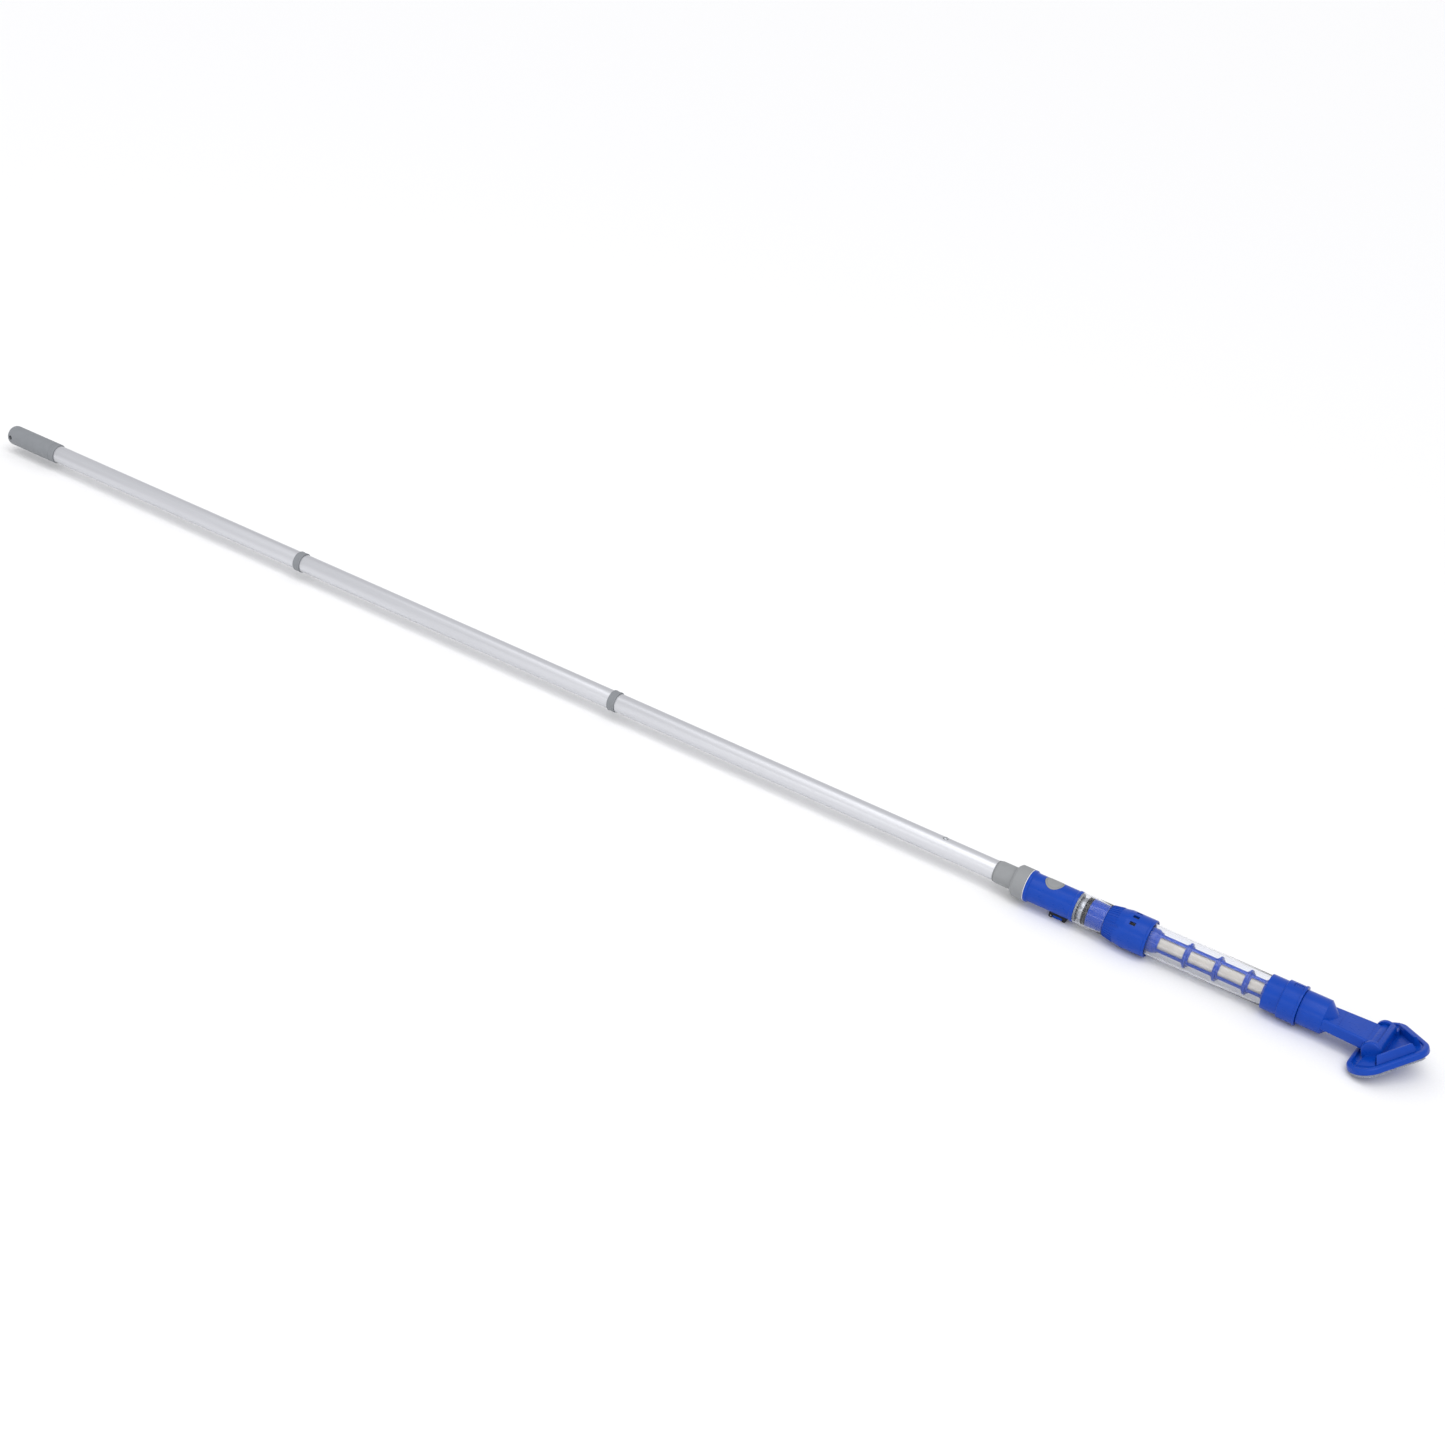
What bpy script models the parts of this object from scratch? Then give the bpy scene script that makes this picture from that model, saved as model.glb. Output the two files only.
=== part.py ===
"""Cordless pool vacuum on a three-piece pole, with a corner brush head.

Every piece is its own object.  The pieces are placed from one empty on the long axis, at the
lower end of the pole: local +X runs down the axis to the head, local +Z points to the power
button.  The world origin is under the middle of the whole vacuum, on the floor.
"""

import math

import bmesh
import bpy
from mathutils import Matrix, Vector

MM = 0.001

# ---------------------------------------------------------------- driving sizes
GAP = 0.3 * MM                     # clearance between touching pieces
EDGE = 0.8 * MM                    # usual chamfer of a moulded edge
OVERRUN = 1.0 * MM                 # how far a cutter runs past the surface it leaves by
ROUND_SIDES = 24                   # sides of the outer turned pieces
INNER_SIDES = 16                   # sides of the pieces inside
SMALL_SIDES = 12                   # sides of pins, screws and small bores

# pole
TUBE_R = 15.0 * MM
TUBE_WALL = 1.0 * MM
TUBE_LENGTH = 668.0 * MM
PLUG_LENGTH = 34.0 * MM            # swaged end that enters the next tube
SHOULDER = 1.5 * MM                # length of the swaged step
COLLAR_LENGTH = 13.0 * MM
COLLAR_WALL = 1.4 * MM
COLLAR_EDGE = 0.6 * MM
GRIP_LENGTH = 114.0 * MM
GRIP_WALL = 2.0 * MM
GRIP_R = TUBE_R + GRIP_WALL
GRIP_TIP = 10.0 * MM                # length of the grip's rounded end
GRIP_INSERT = 80.0 * MM            # tube length inside the grip
HANG_HOLE_R = 4.0 * MM
HANG_HOLE_INSET = 11.5 * MM

# pole adapter and snap button
SPIGOT_LENGTH = 118.0 * MM
SPIGOT_WALL = 2.0 * MM
BARREL_LENGTH = 31.0 * MM
BARREL_WALL = 2.0 * MM
BARREL_R = TUBE_R + BARREL_WALL
BARREL_TAPER = 3.0 * MM            # length of the chamfer towards the pole
FLANGE_THICK = 5.0 * MM
FLANGE_STOP = 3.0 * MM             # how far the flange closes the spigot's bore
SNAP_X = -87.0 * MM
SNAP_R = 4.0 * MM
SNAP_PROUD = 1.8 * MM
SNAP_FLANGE = 1.4 * MM             # thickness and overhang of the button's flange
SNAP_DOME = 1.6 * MM               # height of the rounded top
CLIP_THICK = 0.6 * MM
CLIP_HALF_WIDTH = 4.0 * MM
CLIP_LENGTH = 26.0 * MM

# rear cap and battery housing
CAP_LENGTH = 21.0 * MM
CAP_WALL = 2.2 * MM
CAP_FACE = 5.0 * MM
CAP_CHAMFER = 3.2 * MM
SEAL_THICK = 1.0 * MM
HOUSING_R = 22.0 * MM
HOUSING_WALL = 2.2 * MM
HOUSING_LENGTH = 77.5 * MM
LIP_R = HOUSING_R + 2.0 * MM
LIP_LENGTH = 4.2 * MM
LIP_FADE = 2.0 * MM
FRONT_LIP_R = HOUSING_R + 1.0 * MM
FRONT_LIP = 4.5 * MM
CAP_R = LIP_R

# power button
BUTTON_FROM_LIP = 35.0 * MM
BEZEL_R = 14.0 * MM
BEZEL_WALL = 2.0 * MM
BUTTON_THICK = 5.3 * MM
STEM_R = 2.2 * MM
STEM_LENGTH = 3.2 * MM
SPRING_R = 5.2 * MM
SPRING_WIRE_R = 0.35 * MM
SPRING_TURNS = 4
BEZEL_DEPTH = 2.0 * MM             # how far the bezel reaches below the button

# battery pack
CELL_R = 9.2 * MM
CELL_LENGTH = 65.0 * MM
CELL_DROP = 4.0 * MM
CARRIER_DISC = 2.6 * MM
RAIL_WIDTH = 3.0 * MM
RAIL_HEIGHT = 3.0 * MM
BOARD_THICK = 1.4 * MM
BOARD_HALF_WIDTH = 12.7 * MM
SWITCH_SIZE = 6.0 * MM
SWITCH_HEIGHT = 3.5 * MM
PLUNGER_R = 1.6 * MM
PLUNGER_PROUD = 0.7 * MM
BOARD_ABOVE_CELLS = 0.8 * MM
BOARD_END = 2.0 * MM               # board's end to the cell's end
CELL_END_ROOM = 4.4 * MM
CELL_BEVEL = 0.8 * MM
RAIL_LAP = 0.2 * MM                # how far the rails reach below the board

# charging port under the housing
PORT_BACK = 24.0 * MM              # from the housing's front end to the port's centre
PORT_R = 4.3 * MM
FRAME_LENGTH = 26.0 * MM
FRAME_HALF_WIDTH = 8.0 * MM
FRAME_BASE = 2.0 * MM
FRAME_FOOT = 4.6 * MM              # length of each end block, which the tool lies on
FRAME_DEPTH = 7.2 * MM             # how far the end blocks stand below the housing
HINGE_EAR = 2.4 * MM
EAR_CHAMFER = 1.2 * MM              # lets the cover's edge swing past the ears
COVER_PIN_R = 1.2 * MM
KNUCKLE_R = 2.2 * MM
PIN_FROM_FOOT = 0.9 * MM           # knuckle to the frame's rear end
ARM_ABOVE = 0.4 * MM               # arm's underside above the knuckle's
ARM_BELOW = 0.6 * MM               # arm's top below the knuckle's
JACK_R = 4.0 * MM
JACK_LENGTH = 8.0 * MM
JACK_INSET = 0.5 * MM

# motor section
MOTOR_R = 17.0 * MM
MOTOR_LENGTH = 38.0 * MM
MOTOR_COVER_LENGTH = 45.7 * MM
MOTOR_COVER_R = 23.0 * MM
CLEAR_WALL = 2.0 * MM
ORING_SPACING = 3.9 * MM
SHAFT_R = 1.6 * MM
SHAFT_HOLE_R = 1.9 * MM
SCREW_R = 1.4 * MM
SCREW_CIRCLE_R = 10.0 * MM
LEAD_R = 0.8 * MM
LEAD_Z = 13.0 * MM
LEAD_Y = 4.0 * MM
LEAD_TAIL = 6.0 * MM               # lead's start to the cells' front end
LEAD_RISE = 2.0 * MM
LEAD_BEND = 1.2 * MM
BULKHEAD_DEPTH = 4.2 * MM
MOTOR_INSET = 2.8 * MM             # clear cover's rear end to the motor
MOTOR_CHAMFER = 1.2 * MM
SCREW_BITE = 5.4 * MM              # screw length in the motor
SCREW_HEAD = 1.5 * MM
SEAL_WALL = 3.0 * MM
NOSE_WALL = 3.0 * MM
NOSE_FILLET = 2.0 * MM

# locking collar and pump
COLLAR_CONE = 28.5 * MM
COLLAR_CYLINDER = 38.0 * MM
COLLAR_SMALL_R = 22.4 * MM
COLLAR_BIG_R = 27.75 * MM
COLLAR_SKIN = 2.4 * MM
SLOT_LENGTH = 10.0 * MM
SLOT_WIDTH = 4.4 * MM
SLOT_FROM_CONE = 11.0 * MM
SLOT_STEP_DEG = 21.0
SLOT_COUNT = 4
COLLAR_NECK_R = 19.6 * MM
NECK_OVERLAP = 6.5 * MM            # motor mount inside the collar
COLLAR_FACE = 2.0 * MM             # length of the collar's rear edge
COLLAR_LEDGE = 1.2 * MM
IMPELLER_R = 21.0 * MM
BLADE_HEIGHT = 13.0 * MM
BLADE_THICK = 1.4 * MM
BLADE_COUNT = 7
HUB_R = 5.0 * MM
IMPELLER_ROOM = 4.0 * MM           # collar's cone to the impeller
IMPELLER_PLATE = 1.6 * MM
PUMP_INLET_R = 9.0 * MM
PUMP_PLATE = 3.5 * MM
PUMP_PLATE_INSET = 14.5 * MM       # collar's front end to the pump plate
INLET_SPIGOT = 9.0 * MM
INLET_SPIGOT_WALL = 2.4 * MM
LOCK_RING = 5.0 * MM
LOCK_RING_INSET = 0.6 * MM

# debris chamber and filter
CHAMBER_R = 23.0 * MM
CHAMBER_LENGTH = 192.5 * MM
REAR_SEAL_ROOM = 4.5 * MM          # pump plate to the chamber
FILTER_R = 15.2 * MM
FILTER_WALL = 1.8 * MM
FLAP_ROOM = 21.0 * MM              # filter's end to the inlet tube, where the flap swings
FILTER_NECK = 23.0 * MM
FILTER_NECK_R = 17.5 * MM
FILTER_NECK_TAPER = 4.0 * MM
FILTER_RING_R = 18.5 * MM
FILTER_RING_WIDTH = 3.2 * MM
FILTER_PITCH = 44.4 * MM
WINDOW_HEIGHT = 16.5 * MM
WINDOW_MARGIN = 2.5 * MM
WINDOW_END_MARGIN = 5.5 * MM       # last window to the cage's closed end
MESH_THICK = 0.5 * MM
FILTER_TURN_DEG = 15.0

# front connector
CONNECTOR_R = 25.25 * MM
CONNECTOR_SLEEVE = 24.0 * MM
CONNECTOR_RING_R = 27.8 * MM
CONNECTOR_RING = 24.0 * MM
CONNECTOR_LIP_R = 29.0 * MM
CONNECTOR_LIP = 3.0 * MM
CONNECTOR_LAP = 12.4 * MM          # sleeve's length over the chamber
CONNECTOR_EDGE = 0.6 * MM
FRONT_SEAL_ROOM = 2.8 * MM
SEAL_LEDGE = 10.3 * MM             # seal's ledge to the inlet bulkhead
BULKHEAD_THICK = 4.0 * MM
INLET_STUB = 3.0 * MM              # inlet tube standing behind the bulkhead
FLAP_HALF_WIDTH = 4.5 * MM
FLAP_MARGIN = 0.6 * MM
EAR_THICK = 2.0 * MM
EAR_ROOT = 6.0 * MM                # length of the ears along the inlet tube
EAR_ROOM = 2.2 * MM                # how far the flap's room reaches behind the tube's end
INLET_R = 10.0 * MM
INLET_WALL = 3.0 * MM
FLAP_THICK = 1.2 * MM
FLAP_PIN_R = 0.9 * MM
FLAP_KNUCKLE_R = 2.0 * MM
LATCH_LENGTH = 13.0 * MM
LATCH_HALF_WIDTH = 4.2 * MM
LATCH_FROM_LIP = 4.6 * MM
LATCH_SPRING_ROOM = 4.4 * MM
LATCH_SPRING_R = 2.2 * MM
LATCH_SINK = 0.6 * MM              # latch's top below the ring's

# nozzle and neck
NOZZLE_R = 24.8 * MM
NOZZLE_LENGTH = 38.0 * MM
NOZZLE_BORE_R = 13.5 * MM
SPIGOT_R = 21.2 * MM
GROOVE_MARGIN = 1.5 * MM           # latch groove past each end of the latch
CONE_START = 3.0 * MM              # cone's start to the nozzle's nominal end
CONE_LENGTH = 16.5 * MM
GROOVE_R = 16.4 * MM
NECK_THICK = 16.8 * MM
NECK_WIDTH_REAR = 50.0 * MM
NECK_WIDTH_FRONT = 57.0 * MM
NECK_LENGTH = 72.0 * MM            # nozzle face to the head pivot
NECK_WALL = 2.6 * MM
NECK_CORNER = 3.5 * MM
NECK_ROOT = 6.0 * MM               # neck's and duct's start behind the cone
BARREL_END_R = 10.5 * MM
BARREL_END_WALL = 2.3 * MM

# head
HEAD_PITCH_DEG = 24.5
HEAD_SWING_DEG = 18.0
HEAD_REAR = 30.0 * MM              # pivot to the rear edge
REAR_CORNER_R = 28.3 * MM
REAR_CORNER_Y = 47.7 * MM
APEX_R = 29.3 * MM
APEX_X = 36.7 * MM
CORNER_STEPS = 6                   # facets of each rounded corner, an even number
RIM_BOTTOM = -16.0 * MM
RIM_TOP = -7.0 * MM
RIM_WIDTH = 11.0 * MM              # underside of the rim
RIM_BAND = 8.0 * MM                # rim's upper face
RIM_ROUND = 1.2 * MM
RIM_STEP = 0.6 * MM                # rim's rounded upper edges below its top
GUTTER = 1.5 * MM                  # width of the gutter inside the rim
DECK_Z = -10.0 * MM
SHELL_WALL = 2.6 * MM
RIDGE_FOOT = 10.3 * MM             # inset of the ridges' outer foot
RIDGE_DRAFT = 3.4 * MM
RIDGE_THICK = 3.2 * MM
RIDGE_TOP = 3.0 * MM
RIDGE_X = 13.0 * MM                # ridges' rear end
RIDGE_GAP_X = 51.0 * MM            # ridges' front ends
RIDGE_GAP = 8.0 * MM               # half the opening between the ridges at the apex
HOOD_R = 14.2 * MM
BAR_X = 9.0 * MM                   # rear face of the bar in front of the barrel
WEB_TOP = -3.0 * MM                # web from a cheek to its ridge
WEB_END_Y = 49.0 * MM
PANEL_TOP = -4.6 * MM
PANEL_LOW = -9.3 * MM
PANEL_END_Y = 59.0 * MM
PANEL_ROOT = (-8.0 * MM, 7.0 * MM)
PANEL_FOOT = (-15.0 * MM, 11.0 * MM)
CHEEK = 8.6 * MM
CHEEK_ROUND = 3.0 * MM
PIN_COVER = 1.5 * MM               # cheek's wall over the pin's end
PIVOT_PIN_R = 2.5 * MM

# brush strips under the rim
GROOVE_DEPTH = 3.0 * MM
STRIP_INSET = 6.5 * MM
STRIP_WIDTH = 6.0 * MM
STRIP_THICK = 2.6 * MM
STRAND_LENGTH = 4.6 * MM
STRAND_R = 0.55 * MM
STRAND_STEP = 1.95 * MM
STRAND_ROW_OFFSET = 1.2 * MM
STRAND_ROOT = 0.6 * MM
BRUSH_SPLIT = 0.38                 # share of a side behind the gap between two strips
BRUSH_GAP = 5.0 * MM
BRUSH_FROM_NECK = 2.0 * MM
BRUSH_FROM_APEX = 3.0 * MM

# ---------------------------------------------------------------- stations along the axis
LOWER_JOINT_X = -TUBE_LENGTH
UPPER_JOINT_X = LOWER_JOINT_X + PLUG_LENGTH - TUBE_LENGTH
TOP_TUBE_END_X = UPPER_JOINT_X + PLUG_LENGTH - TUBE_LENGTH
GRIP_FRONT_X = TOP_TUBE_END_X + GRIP_INSERT
GRIP_TIP_X = GRIP_FRONT_X - GRIP_LENGTH

CAP_X = BARREL_LENGTH
CAP_END_X = CAP_X + CAP_LENGTH
HOUSING_X = CAP_END_X + SEAL_THICK + 2 * GAP
HOUSING_END_X = HOUSING_X + HOUSING_LENGTH
COVER_X = HOUSING_END_X + GAP
COVER_END_X = COVER_X + MOTOR_COVER_LENGTH
COLLAR_X = COVER_END_X + GAP
CONE_END_X = COLLAR_X + COLLAR_CONE
COLLAR_END_X = CONE_END_X + COLLAR_CYLINDER
PUMP_PLATE_X = COLLAR_END_X - PUMP_PLATE_INSET
CHAMBER_X = PUMP_PLATE_X + PUMP_PLATE + REAR_SEAL_ROOM
CHAMBER_END_X = CHAMBER_X + CHAMBER_LENGTH
LEDGE_X = CHAMBER_END_X + FRONT_SEAL_ROOM
BULKHEAD_FRONT_X = LEDGE_X + SEAL_LEDGE
SOCKET_X = BULKHEAD_FRONT_X + BULKHEAD_THICK
INLET_X = BULKHEAD_FRONT_X - INLET_STUB
CONNECTOR_X = CHAMBER_END_X - CONNECTOR_LAP
RING_X = CONNECTOR_X + CONNECTOR_SLEEVE
CONNECTOR_END_X = RING_X + CONNECTOR_RING + CONNECTOR_LIP
NOZZLE_X = CONNECTOR_END_X + GAP
PIVOT_X = NOZZLE_X + NOZZLE_LENGTH + NECK_LENGTH
HEAD_TIP_X = PIVOT_X + ((APEX_X + APEX_R) * math.cos(math.radians(HEAD_PITCH_DEG))
                        - (RIM_BOTTOM + RIM_ROUND) * math.sin(math.radians(HEAD_PITCH_DEG)))

TUBE_BORE_R = TUBE_R - TUBE_WALL
PLUG_R = TUBE_BORE_R - GAP
SPIGOT_BORE_R = PLUG_R - SPIGOT_WALL
HOUSING_BORE_R = HOUSING_R - HOUSING_WALL
CLEAR_BORE_R = MOTOR_COVER_R - CLEAR_WALL
CHAMBER_BORE_R = CHAMBER_R - CLEAR_WALL
COLLAR_BORE_R = COLLAR_BIG_R - COLLAR_SKIN
BUTTON_X = HOUSING_X + BUTTON_FROM_LIP
PORT_X = HOUSING_END_X - PORT_BACK

AXIS_Z = max(CONNECTOR_LIP_R, HOUSING_R + FRAME_DEPTH)
MIDDLE_X = (GRIP_TIP_X + HEAD_TIP_X) / 2

# ---------------------------------------------------------------- scene set-up
for old in list(bpy.data.objects):
    bpy.data.objects.remove(old, do_unlink=True)

parts = bpy.data.collections.new("pool_vacuum")
cutters = bpy.data.collections.new("cutters")
bpy.context.scene.collection.children.link(parts)
bpy.context.scene.collection.children.link(cutters)

axis_frame = bpy.data.objects.new("axis_frame", None)
axis_frame.location = (-MIDDLE_X, 0.0, AXIS_Z)
parts.objects.link(axis_frame)

head_frame = bpy.data.objects.new("head_frame", None)
head_frame.parent = axis_frame
head_frame.location = (PIVOT_X, 0.0, 0.0)
head_frame.rotation_euler = (0.0, -math.radians(HEAD_PITCH_DEG), 0.0)
parts.objects.link(head_frame)


def finish(name, colour, roughness, metallic=0.0, alpha=1.0):
    """A Principled material."""
    material = bpy.data.materials.new(name)
    material.use_nodes = True
    shader = material.node_tree.nodes["Principled BSDF"]
    shader.inputs["Base Color"].default_value = (*colour, 1.0)
    shader.inputs["Roughness"].default_value = roughness
    shader.inputs["Metallic"].default_value = metallic
    shader.inputs["Alpha"].default_value = alpha
    material.diffuse_color = (*colour, alpha)
    return material


BLUE = finish("blue_abs", (0.012, 0.075, 0.50), 0.35)
GREY = finish("light_grey_abs", (0.40, 0.40, 0.39), 0.5)
DARK_GREY = finish("dark_grey_abs", (0.25, 0.27, 0.29), 0.5)
ALUMINIUM = finish("anodised_aluminium", (0.72, 0.72, 0.74), 0.35, 1.0)
CLEAR = finish("clear_polycarbonate", (0.80, 0.82, 0.95), 0.05, 0.0, 0.35)
RUBBER = finish("black_rubber", (0.02, 0.02, 0.02), 0.8)
SILICONE = finish("white_silicone", (0.75, 0.75, 0.75), 0.6)
STEEL = finish("steel", (0.55, 0.55, 0.55), 0.3, 1.0)
CELL_WRAP = finish("cell_wrap", (0.05, 0.35, 0.25), 0.45)
BOARD_GREEN = finish("board_green", (0.01, 0.12, 0.04), 0.5)
MESH_CLOTH = finish("filter_cloth", (0.66, 0.62, 0.56), 0.9)
BRISTLE = finish("bristle_nylon", (0.55, 0.57, 0.62), 0.5)


# ---------------------------------------------------------------- modelling helpers
SHARP_EDGE = math.radians(32.0)    # steeper edges stay crisp in smooth shading


def add(name, mesh, material, parent=axis_frame, location=(0.0, 0.0, 0.0), rotation=(0.0, 0.0, 0.0)):
    """Put a mesh in the parts collection, or among the cutters when it has no material."""
    piece = bpy.data.objects.new(name, mesh)
    piece.parent = parent
    piece.location = location
    piece.rotation_euler = rotation
    if material is None:
        cutters.objects.link(piece)
        piece.hide_render = True
        piece.display_type = "WIRE"
    else:
        mesh.materials.append(material)
        parts.objects.link(piece)
    if mesh.polygons:
        mesh.shade_smooth()
        mesh.set_sharp_from_angle(angle=SHARP_EDGE)
    return piece


def turned(name, outline, material, sides=ROUND_SIDES, parent=axis_frame, location=(0.0, 0.0, 0.0)):
    """A piece turned about the X axis from an outline of (x, radius) points.

    The outline is closed unless it starts and ends on the axis.
    """
    open_ended = outline[0][1] == 0.0 and outline[-1][1] == 0.0
    area = sum(a[1] * b[0] - b[1] * a[0] for a, b in zip(outline, outline[1:] + outline[:1]))
    points = outline if area < 0.0 else outline[::-1]
    mesh = bpy.data.meshes.new(name)
    count = len(points)
    edges = [(i, (i + 1) % count) for i in range(count - 1 if open_ended else count)]
    mesh.from_pydata([(r, 0.0, x) for x, r in points], edges, [])
    piece = add(name, mesh, material, parent, location, (0.0, math.pi / 2, 0.0))
    screw = piece.modifiers.new("turn", "SCREW")
    screw.axis = "Z"
    screw.steps = sides
    screw.render_steps = sides
    screw.use_merge_vertices = True
    screw.merge_threshold = 0.00001
    screw.use_smooth_shade = True
    return piece


def box(name, low, high, material=None, parent=axis_frame, rotation=(0.0, 0.0, 0.0), bevel=0.0):
    """A box between two corners, with rounded edges if a bevel is given."""
    size = [b - a for a, b in zip(low, high)]
    centre = [(a + b) / 2 for a, b in zip(low, high)]
    form = bmesh.new()
    bmesh.ops.create_cube(form, size=1.0)
    bmesh.ops.scale(form, vec=size, verts=form.verts)
    bmesh.ops.translate(form, vec=centre, verts=form.verts)
    if bevel > 0.0:
        bmesh.ops.bevel(form, geom=form.edges[:], offset=bevel, segments=2, profile=0.5,
                        affect="EDGES")
    mesh = bpy.data.meshes.new(name)
    form.to_mesh(mesh)
    form.free()
    return add(name, mesh, material, parent, rotation=rotation)


AXIS_TURN = {"X": Matrix.Rotation(math.pi / 2, 4, "Y"),
             "Y": Matrix.Rotation(-math.pi / 2, 4, "X"),
             "Z": Matrix.Identity(4)}


def rod(name, axis, radius, start, end, centre=(0.0, 0.0, 0.0), material=None, parent=axis_frame,
        sides=INNER_SIDES, bevel=0.0):
    """A cylinder along X, Y or Z from start to end, through centre."""
    form = bmesh.new()
    bmesh.ops.create_cone(form, cap_ends=True, segments=sides, radius1=radius, radius2=radius,
                          depth=end - start)
    if bevel > 0.0:
        rims = [e for e in form.edges if abs(e.verts[0].co.z - e.verts[1].co.z) < 1e-9]
        bmesh.ops.bevel(form, geom=rims, offset=bevel, segments=2, profile=0.5, affect="EDGES")
    bmesh.ops.translate(form, vec=(0.0, 0.0, (start + end) / 2), verts=form.verts)
    bmesh.ops.transform(form, matrix=AXIS_TURN[axis], verts=form.verts)
    bmesh.ops.translate(form, vec=centre, verts=form.verts)
    mesh = bpy.data.meshes.new(name)
    form.to_mesh(mesh)
    form.free()
    return add(name, mesh, material, parent)


def combine(piece, other, operation="DIFFERENCE"):
    """Cut, join or intersect a piece with another object."""
    step = piece.modifiers.new(other.name, "BOOLEAN")
    step.operation = operation
    step.solver = "EXACT"
    step.object = other
    return piece


def join_meshes(name, pieces, material=None):
    """One object out of several that share a parent, as separate solids."""
    form = bmesh.new()
    for piece in pieces:
        copy = piece.data.copy()
        copy.transform(piece.matrix_basis)
        form.from_mesh(copy)
        bpy.data.meshes.remove(copy)
    parent = pieces[0].parent
    for piece in pieces:
        bpy.data.objects.remove(piece, do_unlink=True)
    mesh = bpy.data.meshes.new(name)
    form.to_mesh(mesh)
    form.free()
    return add(name, mesh, material, parent)


def curve_to_mesh(name, curve_object, material, parent=axis_frame):
    """The welded mesh of a curve, in place of the curve."""
    bpy.context.view_layer.update()
    graph = bpy.context.evaluated_depsgraph_get()
    mesh = bpy.data.meshes.new_from_object(curve_object.evaluated_get(graph))
    form = bmesh.new()
    form.from_mesh(mesh)
    bmesh.ops.remove_doubles(form, verts=form.verts, dist=0.000001)
    bmesh.ops.recalc_face_normals(form, faces=form.faces)
    form.to_mesh(mesh)
    form.free()
    mesh.name = name
    mesh.materials.clear()
    bpy.data.objects.remove(curve_object, do_unlink=True)
    return add(name, mesh, material, parent)


def wire(name, points, radius, material, resolution=0, parent=axis_frame):
    """Round wire along a list of points."""
    curve = bpy.data.curves.new(name + "_path", "CURVE")
    curve.dimensions = "3D"
    curve.bevel_depth = radius
    curve.bevel_resolution = resolution
    curve.use_fill_caps = True
    spline = curve.splines.new("POLY")
    spline.points.add(len(points) - 1)
    for target, point in zip(spline.points, points):
        target.co = (*point, 1.0)
    path = bpy.data.objects.new(name + "_path", curve)
    parts.objects.link(path)
    return curve_to_mesh(name, path, material, parent)


def plate(name, outline, half_thickness, material, parent=axis_frame):
    """A flat outline of (x, z) points, standing in the XZ plane and thick along Y."""
    curve = bpy.data.curves.new(name + "_outline", "CURVE")
    curve.dimensions = "2D"
    curve.fill_mode = "BOTH"
    curve.extrude = half_thickness
    spline = curve.splines.new("POLY")
    spline.points.add(len(outline) - 1)
    for target, (x, z) in zip(spline.points, outline):
        target.co = (x, z, 0.0, 1.0)
    spline.use_cyclic_u = True
    path = bpy.data.objects.new(name + "_outline", curve)
    parts.objects.link(path)
    piece = curve_to_mesh(name, path, material, parent)
    piece.data.transform(Matrix.Rotation(math.pi / 2, 4, "X"))
    return piece


def loft(name, rings, material, parent=axis_frame):
    """A closed solid through rings of equal point counts, capped at both ends."""
    form = bmesh.new()
    loops = [[form.verts.new(point) for point in ring] for ring in rings]
    count = len(rings[0])
    for lower, upper in zip(loops, loops[1:]):
        for i in range(count):
            j = (i + 1) % count
            form.faces.new((lower[i], lower[j], upper[j], upper[i]))
    form.faces.new(loops[0][::-1])
    form.faces.new(loops[-1])
    bmesh.ops.recalc_face_normals(form, faces=form.faces)
    mesh = bpy.data.meshes.new(name)
    form.to_mesh(mesh)
    form.free()
    return add(name, mesh, material, parent)


def helix(radius, bottom, top, turns, centre, points_per_turn=8):
    """Points of a coil spring about a vertical line."""
    steps = turns * points_per_turn
    return [(centre[0] + radius * math.cos(2 * math.pi * i / points_per_turn),
             centre[1] + radius * math.sin(2 * math.pi * i / points_per_turn),
             bottom + (top - bottom) * i / steps) for i in range(steps + 1)]


# ---------------------------------------------------------------- pole
def swaged_tube(name, left, shoulder):
    """A tube whose front end is drawn down to plug into the next one."""
    tip = shoulder + SHOULDER + PLUG_LENGTH
    neck = shoulder + SHOULDER - GAP
    turned(name, [(left, TUBE_R), (shoulder, TUBE_R), (neck, PLUG_R), (tip, PLUG_R),
                  (tip, PLUG_R - TUBE_WALL), (neck, PLUG_R - TUBE_WALL),
                  (shoulder, TUBE_BORE_R), (left, TUBE_BORE_R)], ALUMINIUM)


def tube_collar(name, joint):
    """The ring that hides a joint between two tubes."""
    half = COLLAR_LENGTH / 2
    bore = TUBE_R + GAP
    outer = bore + COLLAR_WALL
    turned(name, [(joint - half, bore), (joint - half, outer - COLLAR_EDGE),
                  (joint - half + EDGE, outer), (joint + half - EDGE, outer),
                  (joint + half, outer - COLLAR_EDGE), (joint + half, bore)], DARK_GREY)


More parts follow.
